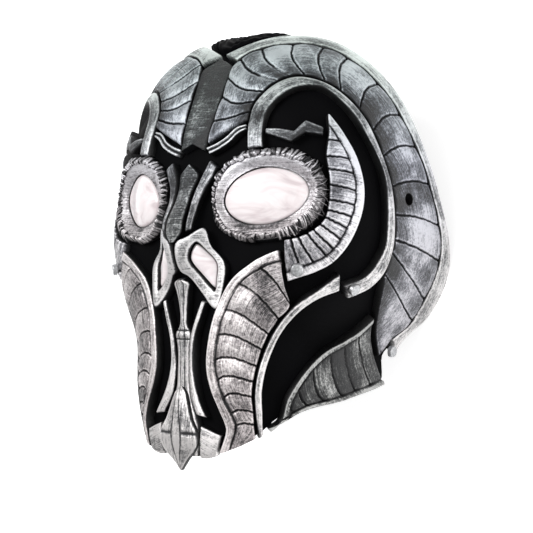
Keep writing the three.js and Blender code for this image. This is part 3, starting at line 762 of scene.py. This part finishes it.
FRAME_OUTER = [(6.8, 5.7), (8.5, 0.9), (12.4, -3.4), (12.6, -8.2), (10.4, -14.9), (5.8, -11.2),
               (2.4, -6.6), (0.5, -4.5), (0.6, 1.5), (3.2, 3.6)]
GEM_EDGE = [(5.2, 2), (7.1, 0), (10.2, -3.8), (10.3, -7.4), (9.8, -10.5), (6.9, -8.2), (4.3, -4.8),
            (3.2, -2.2), (3.6, 0), (4.4, 1.6)]
NOSE_STRIP_OUTER = [(4.3, 5.4), (4.6, 8.8), (4.8, 12.2), (6, 15.5), (7.7, 18.3), (8.8, 20.7)]
NOSE_STRIP_INNER = [(2.7, 4.7), (2.8, 8.2), (2.6, 12), (3.2, 15.7), (4.6, 19.6), (6.3, 22.7)]
RIB_OUTER = [(7.3, -13.5), (6.1, -16.6), (4.5, -20.9), (3.95, -25.2), (4.3, -29.1), (5.5, -32.7),
             (7.4, -36)]
RIB_INNER = [(5.9, -12.9), (4.4, -16.8), (3, -20.8), (2.4, -25), (2.4, -28.5), (3, -32.3),
             (4.8, -35.6)]
CHIN_TOP = [(5.8, -37.2), (7.7, -37.9), (10.1, -38.9)]
CHIN_BOTTOM = [(5.1, -42.3), (6.7, -42.4), (8.6, -42.2)]
SHELL_RIM = [(0, -42.4), (8.4, -41.5), (16.8, -41.2), (22.6, -40.6), (32.7, -46.4), (46.9, -58.6),
             (54, -51.5), (66, -53), (80, -45), (88.3, -29.7), (90.7, -7.5), (85.9, 9),
             (77.5, 24.6), (70, 33.6), (59.5, 43.2), (49.2, 51.2), (39.5, 55.8), (27, 58.2),
             (16, 62), (15, 78), (13.5, 94), (7, 97), (0, 98)]
# Half widths of the middle pieces: degrees up, half width
FOREHEAD = [(25.2, 4.1), (31.9, 4.7), (38.2, 5), (43, 5.2), (46.3, 5.3), (48, 3), (48.9, 0.6)]
BRIDGE = [(2.1, 0.6), (4.8, 2.1), (9.1, 2.1), (14.2, 2), (18.7, 3), (20.1, 2.3), (21.8, 0.4)]
SPINE = [(-42, 4.6), (-38.5, 5.2), (-35.9, 4.4), (-31.8, 2.5), (-27.6, 2.2), (-23.3, 2.2),
         (-20.6, 2.7), (-18, 1.2), (-13.5, 1.4), (-10.4, 1.9), (-8.4, 2.3), (-7.3, 0.9)]
TUSK = [(-44.2, 0.3), (-42.8, 2.2), (-40.7, 4.9), (-38.5, 5.3), (-36.3, 4), (-33.4, 2.8),
        (-31.8, 1.9), (-31, 0.5)]

print("horn's outer edge, first and last place", HORN_EDGE[0], HORN_EDGE[-1])

# %% [markdown]
# The tooling lines were cut by hand, so they aren't evenly spaced. Each list says where they cross
# a plate, as parts of its length.

# %% Places of the tooling lines
HORN_GROOVES = (0.05, 0.11, 0.165, 0.23, 0.28, 0.34, 0.4, 0.448, 0.507, 0.558, 0.606, 0.664, 0.724,
                0.78, 0.844, 0.895)
CRESCENT_GROOVES = (0.16, 0.25, 0.32, 0.4, 0.47, 0.53, 0.59, 0.655, 0.715, 0.77, 0.86, 0.93)
CHEEK_GROOVES = (0.17, 0.27, 0.36, 0.45, 0.54, 0.63, 0.724, 0.815, 0.89)
JAW_GROOVES = (0.24, 0.36, 0.48, 0.61, 0.715, 0.85)
print("tooling lines on a horn", len(HORN_GROOVES), "on a cheek", len(CHEEK_GROOVES))

# %% [markdown]
# The horn plate is one long leather strip, tooled into domed segments that overlap like an
# armadillo's back. Each groove is a dark line less than a millimetre wide. A segment is painted
# brightest in the middle as a highlight, and the strip is painted darkest where it goes under the
# strap, as shade.

# %% Horn plates
GROOVE_MM, HORN_GROOVE_DEPTH = 0.5, 1.2
HORN_GROOVE_BOW = 1.3
SEGMENT_DOME, HORN_DOME = 1.0, 0.9


def shade(segment):
    """A small steady difference in paint from segment to segment."""
    return 0.07 * np.sin(segment * 2.4 + 1.0)


def horn_relief(spot):
    to_groove, phase, segment = spot.between(HORN_GROOVES)
    # two grooves near the crown stop short of the strap
    reach = np.where(spot.t < 0.31, 0.72, 1.2) + np.where(spot.t < 0.2, 0.5, 0.0)
    cut = hump(to_groove, GROOVE_MM) * (1 - smooth(spot.v, reach - 0.08, reach))
    dome = (SEGMENT_DOME * np.sin(np.pi * phase) ** 0.7
            + HORN_DOME * np.sin(np.pi * spot.v) ** 0.7)
    height = PLATE_TOP - 0.2 + dome - HORN_GROOVE_DEPTH * cut - spot.edge(1.0)
    # painted highlight along the middle and the outer edge, painted shade under the strap and
    # beside a lap
    painted_light_across = 0.5 + 0.16 * hump(spot.v - 0.42, 0.2) + 0.1 * hump(spot.v - 0.06, 0.05)
    painted_shade_under_strap = 0.3 * smooth(spot.v, 0.72, 0.98)
    painted_shade_by_lap = 0.12 * hump(phase, 0.14) + 0.1 * hump(phase - 0.55, 0.25)
    # painted highlight on the lip beside each groove
    groove_lip_highlight = 0.24 * hump(to_groove - 1.2, 0.4)
    # painted light where the horn rounds the brow and the crown
    climb = 0.12 * hump(spot.t - 0.1, 0.1) + 0.08 * hump(spot.t - 0.3, 0.07)
    tone = painted_light_across - painted_shade_under_strap - painted_shade_by_lap + groove_lip_highlight + climb + shade(segment) + 0.1
    return height, tone * (1 - cut) * spot.wear_and_painted_light()


def horn_bow(t):
    return HORN_GROOVE_BOW * np.minimum(1, t * 9) * np.minimum(1, (1 - t) * 9)


horn = lay_plate("horn_plate_left", HORN_GROOVE, HORN_INNER, (760, 38), horn_relief, bow=horn_bow)
print("horn before its lace hole", len(horn.vertices), "vertices")

# %% [markdown]
# A lace holds the mask on. It goes through a round hole at each temple, punched through the horn
# and the shell behind it.

# %% Lace holes
LACE_LEFT, LACE_UP, LACE_RADIUS, PUNCH_MM = 60.9, 18.7, 3.8, 40.0
ROUND_SIDES = 40


def stand_on_face(bm, left, up, lift):
    """Moves what was made round the Z axis so that it stands on the face."""
    middle = on_face(np.array([left]), np.array([up]), np.array([lift]))
    out = read_chart(chart_out, np.array([left]), np.array([up]))[0]
    turn = Vector((0, 0, 1)).rotation_difference(Vector(out)).to_matrix().to_4x4()
    place = Matrix.Translation(to_frame(middle)[0]) @ turn
    bmesh.ops.transform(bm, matrix=place, verts=bm.verts)


def punch(side):
    bm = bmesh.new()
    bmesh.ops.create_cone(bm, cap_ends=True, segments=ROUND_SIDES, radius1=LACE_RADIUS * MM,
                          radius2=LACE_RADIUS * MM, depth=PUNCH_MM * MM)
    stand_on_face(bm, LACE_LEFT * side, LACE_UP, 0.0)
    return finish_block(bm, "punch")


horn = bored(horn, punch(1))
add_pair("horn_plate", horn, HORN, "silver_leather")

# %% [markdown]
# The bands are strips of thicker leather with a rounded back, burnished and painted brightest. The
# outer one binds the horn's edge and lies on the table behind, so it is cut flat there.

# %% Horn bands and straps
# the band begins at the groove line's third place, two of its nine spans on
GROOVE_LINE_START = 2 / 9
BAND_DOME, BAND_EDGE = 0.7, 0.8


def band_relief(raise_mm, bright):
    def relief(spot):
        crowned = BAND_DOME * np.sin(np.pi * spot.v) ** 0.6
        height = PLATE_TOP + raise_mm + crowned - spot.edge(BAND_EDGE)
        # painted light on one side of the rounded back, painted shade on the other
        wear_and_painted_light = 0.08 * hump(spot.v - 0.3, 0.15) - 0.1 * hump(spot.v - 0.75, 0.2)
        return height, (bright + wear_and_painted_light) * spot.wear_and_painted_light()
    return relief


band = lay_plate("horn_band_left", HORN_EDGE, HORN_GROOVE, (420, 16), band_relief(1.0, 0.76),
                 inner_start=GROOVE_LINE_START, seam=0.3)
cut_at_table(band)
add_pair("horn_band", band, EDGE, "bright_silver_leather")
strap = lay_plate("horn_strap_left", STRAP_OUTER, STRAP_INNER, (360, 12), band_relief(0.4, 0.64))
add_pair("horn_strap", strap, EDGE, "bright_silver_leather")

# %% [markdown]
# The narrow strips of the lower face are bands too. They differ only in their lines, in how far
# they stand out and in how bright they were painted, so one loop makes them all.

# %% Cheek bands, mouth ribs, nose strips and chin bands
for stem, outer, inner, cells, lift, bright in (
        ("cheek_band", BAND_OUTER, BAND_INNER, (200, 12), 0.8, 0.7),
        ("mouth_rib", RIB_OUTER, RIB_INNER, (110, 10), 0.5, 0.74),
        ("nose_strip", NOSE_STRIP_OUTER, NOSE_STRIP_INNER, (80, 8), 0.4, 0.5),
        ("chin_band", CHIN_TOP, CHIN_BOTTOM, (24, 22), 0.2, 0.72)):
    plate = lay_plate(f"{stem}_left", outer, inner, cells, band_relief(lift, bright))
    slot = "bright_silver_leather" if stem == "cheek_band" else "silver_leather"
    add_pair(stem, plate, EDGE, slot)

# %% [markdown]
# Crescent, cheek and jaw share one idea: a smooth bright band along one edge, a deep groove beside
# it, and ribs that fan out from the band.

# %% Ribbed plates
BAND_STANDS, RIB_DOME, RIB_GROOVE_DEPTH = 1.3, 1.1, 1.1


def ribbed(grooves, band_mm, groove_mm, rib_tone, band_tone, lower_band_mm=0.0):
    def relief(spot):
        on_band = 1 - smooth(spot.outer, band_mm - 0.3, band_mm + 0.3)
        gap = np.abs(spot.outer - band_mm - groove_mm)
        if lower_band_mm:
            on_band = on_band + 1 - smooth(spot.inner, lower_band_mm - 0.3, lower_band_mm + 0.3)
            gap = np.minimum(gap, np.abs(spot.inner - lower_band_mm - groove_mm))
        seam_cut = hump(gap, groove_mm)
        to_groove, phase, segment = spot.between(grooves)
        rib_cut = hump(to_groove, GROOVE_MM * 0.9) * (1 - on_band)
        rib_dome = RIB_DOME * np.sin(np.pi * phase) ** 0.6
        height = PLATE_TOP - 0.2 + on_band * BAND_STANDS + (1 - on_band) * rib_dome
        height = height - RIB_GROOVE_DEPTH * np.maximum(seam_cut, rib_cut) - spot.edge(1.0)
        # painted shade at the start of each rib, beside its groove
        rib = rib_tone + shade(segment) - 0.1 * hump(phase, 0.25)
        tone = on_band * band_tone + (1 - on_band) * rib
        # painted highlight on the lip beside each groove
        groove_lip_highlight = 1 + 0.35 * hump(to_groove - 1.1, 0.4) * (1 - on_band)
        dark = (1 - hump(gap, groove_mm * 0.7)) * (1 - rib_cut) * groove_lip_highlight
        return height, tone * dark * spot.wear_and_painted_light()
    return relief


crescent = lay_plate("eye_crescent_left", CRESCENT_OUTER, CRESCENT_INNER, (260, 34),
                     ribbed(CRESCENT_GROOVES, 4.6, 0.6, 0.63, 0.8))
add_pair("eye_crescent", crescent, RIB, "silver_leather")
cheek = lay_plate("cheek_plate_left", CHEEK_FRONT, CHEEK_REAR, (320, 44),
                  ribbed(CHEEK_GROOVES, 5.4, 0.6, 0.6, 0.72),
                  bow=lambda t: 1.9 * np.minimum(1, t * 4) * np.minimum(1, (1 - t) * 4))
add_pair("cheek_plate", cheek, CHEEK, "silver_leather")
jaw = lay_plate("jaw_plate_left", JAW_TOP, JAW_BOTTOM, (200, 44),
                ribbed(JAW_GROOVES, 3.8, 0.7, 0.42, 0.78, lower_band_mm=4.0),
                bow=lambda t: 1.2 * np.minimum(1, t * 2))
add_pair("jaw_plate", jaw, DARK, "gunmetal_leather")

# %% [markdown]
# The brow trim is one strip with a channel pressed down its middle, so that it reads as two. The
# zigzag beside it is a plain dark strip, folded twice.

# %% Brow trims and zigzags


def channel_relief(bright):
    def relief(spot):
        middle = hump(spot.v - 0.5, 0.13)
        height = PLATE_TOP + 0.2 - 1.0 * middle - spot.edge(0.9)
        side = spot.wear_and_painted_light()
        return height, bright * side * (1 - 0.95 * middle)
    return relief


trim = lay_plate("brow_trim_left", TRIM_UPPER, TRIM_LOWER, (70, 16), channel_relief(0.74))
add_pair("brow_trim", trim, EDGE, "silver_leather")
zigzag = lay_plate("brow_zigzag_left", ZIGZAG_UPPER, ZIGZAG_LOWER, (80, 12),
                   band_relief(0.0, 0.42))
add_pair("brow_zigzag", zigzag, EDGE, "gunmetal_leather")

# %% [markdown]
# The pieces on the middle line are symmetric: each level has a half width, and the sheet runs from
# minus to plus that width. The plainest of them is a strip with a low rounded back.

# %% Lay a middle piece
DEGREE_MM = 2.4


def lay_middle(name, rows, cells, relief, notch=0.0, under=PLATE_UNDER):
    mesh = sheet_block(name, *cells)
    block = read_points(mesh)
    t, v, top = block[:, 0], 2 * block[:, 1] - 1, block[:, 2] > 0.5
    half = line([(width, up) for up, width in rows])(t)
    up = half[:, 1] + notch * np.maximum(0, 1 - t * 6) * (1 - np.abs(v))
    left = half[:, 0] * v
    height, tone = relief(t, v, half[:, 0] * DEGREE_MM * (1 - np.abs(v)))
    return laid(mesh, np.stack([left, up], 1), np.where(top, height, under),
                np.where(top, tone, 0.0), up * DEGREE_MM, left * DEGREE_MM)


def strip_relief(raise_mm, bright, lines=()):
    def relief(t, v, edge_mm):
        cut = sum(hump(v - at, 0.07) for at in lines) if lines else 0.0
        height = PLATE_TOP + raise_mm * (1 - v * v) - rounded(edge_mm, 1.0) - 0.5 * cut
        side = worn_edge_and_highlight(edge_mm)
        # a painted highlight down one side of the strip
        return height, bright * side * (0.85 + 0.3 * hump(v + 0.45, 0.3)) * (1 - 0.8 * cut)
    return relief


forehead = lay_middle("forehead_strip", FOREHEAD, (150, 36), strip_relief(1.0, 0.4), notch=1.6)
add_piece("dressed_forehead_strip", forehead, DARK, "gunmetal_leather", "forehead_strip")
bridge = lay_middle("nose_bridge", BRIDGE, (100, 20), strip_relief(0.8, 0.62))
add_piece("dressed_nose_bridge", bridge, DARK, "gunmetal_leather", "nose_bridge")
print("forehead strip and nose bridge", len(forehead.polygons), len(bridge.polygons), "faces")

# %% [markdown]
# The spine of the mouth and the tusk over the chin are carved as well as painted. The tusk is cut
# in facets, and dark lines run along the edges between them.

# %% Mouth spine and chin tusk


def spine_relief(t, v, edge_mm):
    """A tooled bar with a knuckle between two rings, where the foot meets the stem."""
    height, tone = strip_relief(1.4, 0.84, lines=(-0.4, 0.4))(t, v, edge_mm)
    rings = hump(t - 0.51, 0.006) + hump(t - 0.58, 0.006)
    knuckle = hump(t - 0.545, 0.025) * (1 - v * v)
    return height + knuckle - 0.4 * rings, tone * (1 - 0.75 * rings)


def tusk_relief(t, v, edge_mm):
    """A narrow diamond down the front between two flat sides that are creased at their widest."""
    length = np.sin(np.pi * np.clip(t, 0, 1)) ** 0.8
    ridge = 0.1 + 0.24 * np.sin(np.pi * t)
    slope = np.clip((1 - np.abs(v)) / (1 - ridge), 0, 1)
    height = 6.6 + 4.0 * length * slope - rounded(edge_mm, 0.6)
    facet_line = hump(np.abs(v) - ridge, 0.04)
    crease = hump(t - 0.42, 0.016) * smooth(np.abs(v), ridge, ridge + 0.1)
    side = worn_edge_and_highlight(edge_mm)
    # the side facets are painted darker than the front, as shade
    flat = np.where(np.abs(v) < ridge, 0.86, 0.72)
    return height - 0.5 * np.maximum(facet_line, crease), flat * side * (
        1 - 0.85 * np.maximum(facet_line, crease))


spine = lay_middle("mouth_spine", SPINE, (240, 24), spine_relief)
add_piece("dressed_mouth_spine", spine, EDGE, "silver_leather", "mouth_spine")
tusk = lay_middle("chin_tusk", TUSK, (120, 48), tusk_relief, under=4.6)
add_piece("dressed_chin_tusk", tusk, EDGE, "bright_silver_leather", "chin_tusk")
print("spine and tusk", len(spine.polygons), len(tusk.polygons), "faces")

# %% [markdown]
# The eye is round, so its lines are closed loops: slightly tilted ovals, a little squarer than an
# ellipse for the collar and a little more pointed for the insert.

# %% Loops


def loop(left, up, wide, high, tilt, square, count=24):
    angle = np.arange(count) / count * 2 * np.pi
    c, s = np.cos(angle), np.sin(angle)
    x = wide * np.sign(c) * np.abs(c) ** (2 / square)
    y = high * np.sign(s) * np.abs(s) ** (2 / square)
    return np.stack([left + x - y * np.sin(tilt), up + y + x * np.sin(tilt)], 1)


FRINGE = loop(22.3, 13.4, 14.3, 11.3, 0.06, 2.3)
LENS = loop(21.6, 13.3, 10.1, 7.1, 0.12, 1.85)
LENS_SEAT = loop(21.6, 13.3, 10.3, 7.3, 0.12, 1.85)
print("eye insert", LENS[:, 0].round(1).min(), "to", LENS[:, 0].round(1).max(), "degrees left")

# %% [markdown]
# An insert is a low dome on a disc, polished round at its rim. The same function makes the cutters
# that open the shell behind the inserts.

# %% Eye lenses and nostril gems


def lay_dome(name, edge, cells, crown, thick, shrink=1.0, under=PLATE_UNDER):
    rim = line(edge, closed=True)
    middle = np.mean(np.array(edge), axis=0)

    def place(turn, r):
        return middle + (rim(turn) - middle) * (r * shrink)[:, None]

    def relief(turn, r, below=False):
        if below:
            return np.full_like(r, under), r
        return thick + crown * (1 - r * r) - rounded((1 - r) * 12, 1.0), np.ones_like(r)
    return lay_round(disc_block(name, *cells), place, relief)


lens = lay_dome("eye_lens_left", LENS, (120, 28), 5.2, 3.0)
add_pair("eye_lens", lens, PEARL, "pearl_lens")
gem = lay_dome("nostril_gem_left", GEM_EDGE, (80, 14), 2.2, 2.6, shrink=0.9)
add_pair("nostril_gem", gem, PEARL, "pearl_lens")

# %% [markdown]
# The eye collar is a leather ring. Its inner part is a smooth painted funnel that rises from the
# insert and falls away again under the tufts.

# %% Eye funnels


def lay_collar(name, outer, inner, cells, relief):
    outer_line, inner_line = line(outer, closed=True), line(inner, closed=True)

    def place(turn, r):
        a, b = inner_line(turn), outer_line(turn)
        return a + (b - a) * (r - 1)[:, None]

    return lay_round(ring_block(name, *cells), place, relief)


def funnel_relief(turn, r, below=False):
    if below:
        return np.full_like(r, PLATE_UNDER), r
    v = r - 1
    ripple = 0.1 * np.sin(turn * 2 * np.pi * 46) * v
    height = 3.0 + 2.0 * smooth(v, 0.05, 0.6) - 1.6 * smooth(v, 0.6, 0.95) + ripple
    shaded = 0.16 * hump(np.abs(turn - 0.72), 0.13)
    # painted shade where the funnel goes under the tufts
    tone = 0.72 + 0.08 * smooth(v, 0.1, 0.4) - shaded - 0.4 * smooth(v, 0.75, 0.92)
    return height, tone * (0.5 + 0.5 * smooth(v, 0.0, 0.05))


funnel = lay_collar("eye_funnel", FRINGE, LENS_SEAT, (240, 20), funnel_relief)
print("funnel", len(funnel.vertices), "vertices")

# %% [markdown]
# Outside the funnel the leather was sliced into ragged tufts. Each one is its own small tongue
# with painted shade on its sides, so the gaps between them read as lines. The block holds the
# tongues in a row.

# %% A block of tufts
TUFTS, TUFT_CELLS, TUFT_ACROSS = 124, 8, 4


def tuft_block(name):
    """Tongue k lies from x = 2k to 2k + 1, so that x alone says which one a vertex is on."""
    bm = bmesh.new()
    for k in range(TUFTS):
        tongue = bmesh.ops.create_grid(bm, x_segments=TUFT_CELLS, y_segments=TUFT_ACROSS, size=0.5)
        bmesh.ops.translate(bm, verts=tongue["verts"], vec=(2 * k + 0.5, 0.5, 0))
    return thickened(bm, name)


print("tufts round an eye", TUFTS)

# %% [markdown]
# The tufts were brushed by hand, and no two are alike: short thick dabs above the eye, thin
# tangled strands at its outer corner and blunt teeth below. A seeded generator gives the same
# tufts each time.

# %% Eye tufts
TUFT_SEED = 11
TUFT_THICK = 1.6


def lay_tufts(name, outer, inner):
    mesh = tuft_block(name)
    block = read_points(mesh)
    k = (block[:, 0] / 2 + 1e-6).astype(int)
    s, across, top = block[:, 0] - 2 * k, 2 * block[:, 1] - 1, block[:, 2] > 0.5
    chance = np.random.default_rng(TUFT_SEED)
    turn0 = (np.arange(TUFTS) + chance.uniform(-0.35, 0.35, TUFTS)) / TUFTS
    # where round the eye a tuft is: turns run from the outer corner up and over
    above = hump(turn0 - 0.27, 0.16)
    outside = hump((turn0 + 0.5) % 1 - 0.47, 0.13)
    below = hump(turn0 - 0.66, 0.16)
    wide = 0.0038 + 0.0034 * above + 0.0036 * below - 0.0014 * outside
    wide = wide * chance.uniform(0.75, 1.3, TUFTS)
    start = chance.uniform(0.6, 0.78, TUFTS) - 0.2 * outside
    tip = chance.uniform(0.93, 1.16, TUFTS) + 0.12 * outside - 0.03 * below
    lean = chance.uniform(-0.010, 0.010, TUFTS) * (1 + 2.6 * outside - 0.5 * below)
    blunt = np.clip(0.4 + 0.55 * below + 0.4 * above, 0, 0.95)
    lifted = chance.uniform(-0.6, 1.0, TUFTS)
    bright = chance.uniform(-0.2, 0.16, TUFTS) + 0.06 * above + 0.1 * outside
    # one tuft in five is dark, and more where they tangle
    bright = bright - 0.6 * (chance.uniform(0, 1, TUFTS) < 0.18 + 0.16 * outside)
    # from here on each vertex has the values of its own tuft, k
    taper = 1 - (1 - blunt[k]) * s ** 1.4 - 0.25 * hump(s, 0.3)
    turn = turn0[k] + across * wide[k] * taper + lean[k] * s ** 2
    v = start[k] + (tip[k] - start[k]) * s
    a, b = line(inner, closed=True)(turn % 1), line(outer, closed=True)(turn % 1)
    where = a + (b - a) * v[:, None]
    arch = 1.8 * np.sin(np.pi * (0.12 + 0.8 * s)) + lifted[k] * s
    height = 4.6 - 2.6 * smooth(s, 0.2, 1.0) + arch + 0.8 * (1 - across ** 2)
    # painted shade on the sides of each tongue
    tone = (0.9 + bright[k]) * (1 - 0.85 * smooth(np.abs(across), 0.4, 0.95))
    tone = tone * (1 - 0.3 * smooth(s, 0.8, 1.0))
    return laid(mesh, where, np.where(top, height, height - TUFT_THICK),
                np.where(top, tone, 0.05), s * 8.0, across * 1.2 + 3.0 * k)


tufts = lay_tufts("eye_tufts", FRINGE, LENS_SEAT)
fringe = joined("eye_fringe_left", funnel, tufts)
add_pair("eye_fringe", fringe, CHEEK, "silver_leather")

# %% [markdown]
# The nostril frame is a flat leather ring with straight sides and a pointed lower end.

# %% Nostril frames
FRAME_MM = 5.5


def frame_relief(turn, r, below=False):
    if below:
        return np.full_like(r, PLATE_UNDER), r
    v = r - 1
    edge_mm = np.minimum(v, 1 - v) * FRAME_MM
    height = PLATE_TOP + 0.1 + 0.5 * np.sin(np.pi * v) - rounded(edge_mm, 0.6)
    return height, 0.8 * worn_edge_and_highlight(edge_mm)


nostril = lay_collar("nostril_frame_left", FRAME_OUTER, GEM_EDGE, (200, 16), frame_relief)
add_pair("nostril_frame", nostril, EDGE, "bright_silver_leather")

# %% [markdown]
# Rivets are flat discs with a softened rim, set on top of the leather they hold.

# %% Rivets
RIVET_HEIGHT, RIVET_TAPER, RIM_MM = 2.4, 0.9, 0.5


def rivet(name, left, up, radius, under):
    bm = bmesh.new()
    bmesh.ops.create_cone(bm, cap_ends=True, segments=ROUND_SIDES, radius1=radius * MM,
                          radius2=radius * RIVET_TAPER * MM, depth=RIVET_HEIGHT * MM)
    rim = [e for e in bm.edges if e.verts[0].co.z > 0 and e.verts[1].co.z > 0]
    bmesh.ops.bevel(bm, geom=rim, offset=RIM_MM * MM, segments=3, profile=0.5, affect="EDGES",
                    material=-1)
    stand_on_face(bm, left, up, under + RIVET_HEIGHT / 2)
    return finish_block(bm, name)


for stem, left, up, radius, under in (("rivet_cheek", 31.3, -4.9, 4.0, 6.0),
                                      ("rivet_temple", 43.9, -10.8, 3.6, 6.0),
                                      ("rivet_jaw", 54.0, -49.3, 3.8, 6.8)):
    add_pair(stem, rivet(f"{stem}_left", left, up, radius, under), NICKEL, "rivet_metal")

# %% [markdown]
# At the crown a fold of the shell's own leather stands up between the horns. It is creased
# lengthwise, higher in front and sinks to the back.

# %% Crown fold
FOLD_FRONT = [(-13, 57.4), (-6.5, 54.6), (0, 52), (6.5, 54.6), (13, 57.4)]
FOLD_BACK = [(-11, 70), (0, 71), (11, 70)]
FOLD_RISE, FOLD_FALL = 2.4, 6.2


def fold_relief(spot):
    """Height of the fold. Its tone is zero everywhere, because it was never painted."""
    creases = 0.4 * np.sin(spot.outer * 1.1 + 1.5 * np.sin(spot.start * 0.25))
    creases = creases + 0.3 * np.sin(spot.start * 0.9 + spot.outer * 0.5)
    crest = np.minimum(1, 0.5 + 4 * spot.v) - (2 * spot.t - 1) ** 4
    height = PLATE_TOP + FOLD_RISE * crest - FOLD_FALL * spot.v + creases
    return height - 0.6 * spot.edge(1.6), np.zeros_like(spot.t)


fold = lay_plate("crown_fold", FOLD_FRONT, FOLD_BACK, (110, 60), fold_relief)
print("crown fold", len(fold.polygons), "faces")

# %% [markdown]
# The shell is one sheet moulded over the whole face, 3 mm thick and open behind. The eye and
# nostril openings are cut out behind the inserts, and its back rim is cut flat at the table.

# %% Base shell
SHELL_DROP, SHELL_MM = 0.8, 3.0
EYE_OPENING, NOSTRIL_OPENING = 0.86, 0.7
CUT_ABOVE, CUT_BELOW = 6.0, 12.0
shell_rim = line(SHELL_RIM + [(-left, up) for left, up in SHELL_RIM[-2:0:-1]], closed=True)


def shell_place(turn, r):
    return shell_rim(turn) * r[:, None]


def shell_relief(turn, r, below=False):
    return np.full_like(r, -SHELL_DROP - (SHELL_MM if below else 0.0)), np.zeros_like(r)


shell = lay_round(disc_block("base_shell", 260, 76), shell_place, shell_relief)
eye_cutter = lay_dome("eye_cutter", LENS, (60, 1), 0.0, CUT_ABOVE, shrink=EYE_OPENING,
                      under=-CUT_BELOW)
nostril_cutter = lay_dome("nostril_cutter", GEM_EDGE, (40, 1), 0.0, CUT_ABOVE,
                          shrink=NOSTRIL_OPENING, under=-CUT_BELOW)
shell = bored(shell, eye_cutter, mirrored(eye_cutter, "eye_cutter_right"), nostril_cutter,
              mirrored(nostril_cutter, "nostril_cutter_right"), punch(1), punch(-1))
cut_at_table(shell)
shell = joined("base_shell", shell, fold)
add_piece("dressed_base_shell", shell, BLACK, "black_leather", "base_shell")
print("shell", len(shell.polygons), "faces")

# %% [markdown]
# The stage is a sheet of matt white paper. It glows a little, so that it stays nearly white and
# the shadow on it stays faint, as on a picture taken for a catalogue.

# %% Floor
FLOOR_REACH = 8.0
bm = bmesh.new()
bmesh.ops.create_grid(bm, x_segments=1, y_segments=1, size=FLOOR_REACH)
floor_mesh = finish_block(bm, "floor")
floor_material, floor_tree, floor_shader = new_material("matt_white_paper")
fill(floor_tree, floor_shader, Base_Color=srgb("#f6f6f6"), Roughness=0.9,
     Emission_Color=(1, 1, 1, 1), Emission_Strength=0.6)
floor_mesh.materials.append(floor_material)
floor = bpy.data.objects.new("floor", floor_mesh)
bpy.context.scene.collection.objects.link(floor)
print("floor", 2 * FLOOR_REACH, "m across")

# %% [markdown]
# The camera is 40 degrees round to the wearer's left, level with the face when the mask is worn.
# Here the mask lies on its back, so the same view is from above.

# %% Camera
VIEW_ANGLE = math.radians(40)
VIEW_DISTANCE = 0.9
FOCAL_PIXELS, FRAME_PIXELS = 1395, 533
target = Vector((0, -MIDDLE_HEIGHT * MM, REST_DEPTH * MM))
back = Vector((math.sin(VIEW_ANGLE), 0, math.cos(VIEW_ANGLE)))
right = Vector((math.cos(VIEW_ANGLE), 0, -math.sin(VIEW_ANGLE)))
up_axis = Vector((0, 1, 0))
camera_data = bpy.data.cameras.new("camera")
camera_data.sensor_width = 36
camera_data.lens = camera_data.sensor_width * FOCAL_PIXELS / FRAME_PIXELS
camera = bpy.data.objects.new("camera", camera_data)
turned = Matrix((right, up_axis, back)).transposed().to_4x4()
camera.matrix_world = Matrix.Translation(target + back * VIEW_DISTANCE) @ turned
bpy.context.scene.collection.objects.link(camera)
bpy.context.scene.camera = camera
print("camera lens", round(camera_data.lens, 1), "mm at", VIEW_DISTANCE, "m")

# %% [markdown]
# Soft white light comes from all round. A large lamp over the wearer's right brow is the studio's
# window, and a weaker one opposite fills the near side.

# %% Light
SKY_STRENGTH = 0.5
world = bpy.data.worlds.new("studio")
world.use_nodes = True
world.node_tree.nodes["Background"].inputs["Color"].default_value = (1, 1, 1, 1)
world.node_tree.nodes["Background"].inputs["Strength"].default_value = SKY_STRENGTH
bpy.context.scene.world = world
for name, place, size, power in (("window", (-0.3, 0.6, 1.4), 0.6, 17),
                                 ("fill", (1.4, -0.2, 0.8), 0.7, 8)):
    lamp = bpy.data.lights.new(name, "AREA")
    lamp.size = size
    lamp.energy = power
    holder = bpy.data.objects.new(name, lamp)
    aim = (Vector(place) - target).to_track_quat("Z", "Y").to_matrix().to_4x4()
    holder.matrix_world = Matrix.Translation(place) @ aim
    bpy.context.scene.collection.objects.link(holder)
    print(name, "lamp", power, "W,", size, "m wide")
bpy.context.scene.view_settings.view_transform = "Standard"

# %% [markdown]
# Last, the number of pieces is printed.

# %% Finish
print(len(pieces), "pieces")
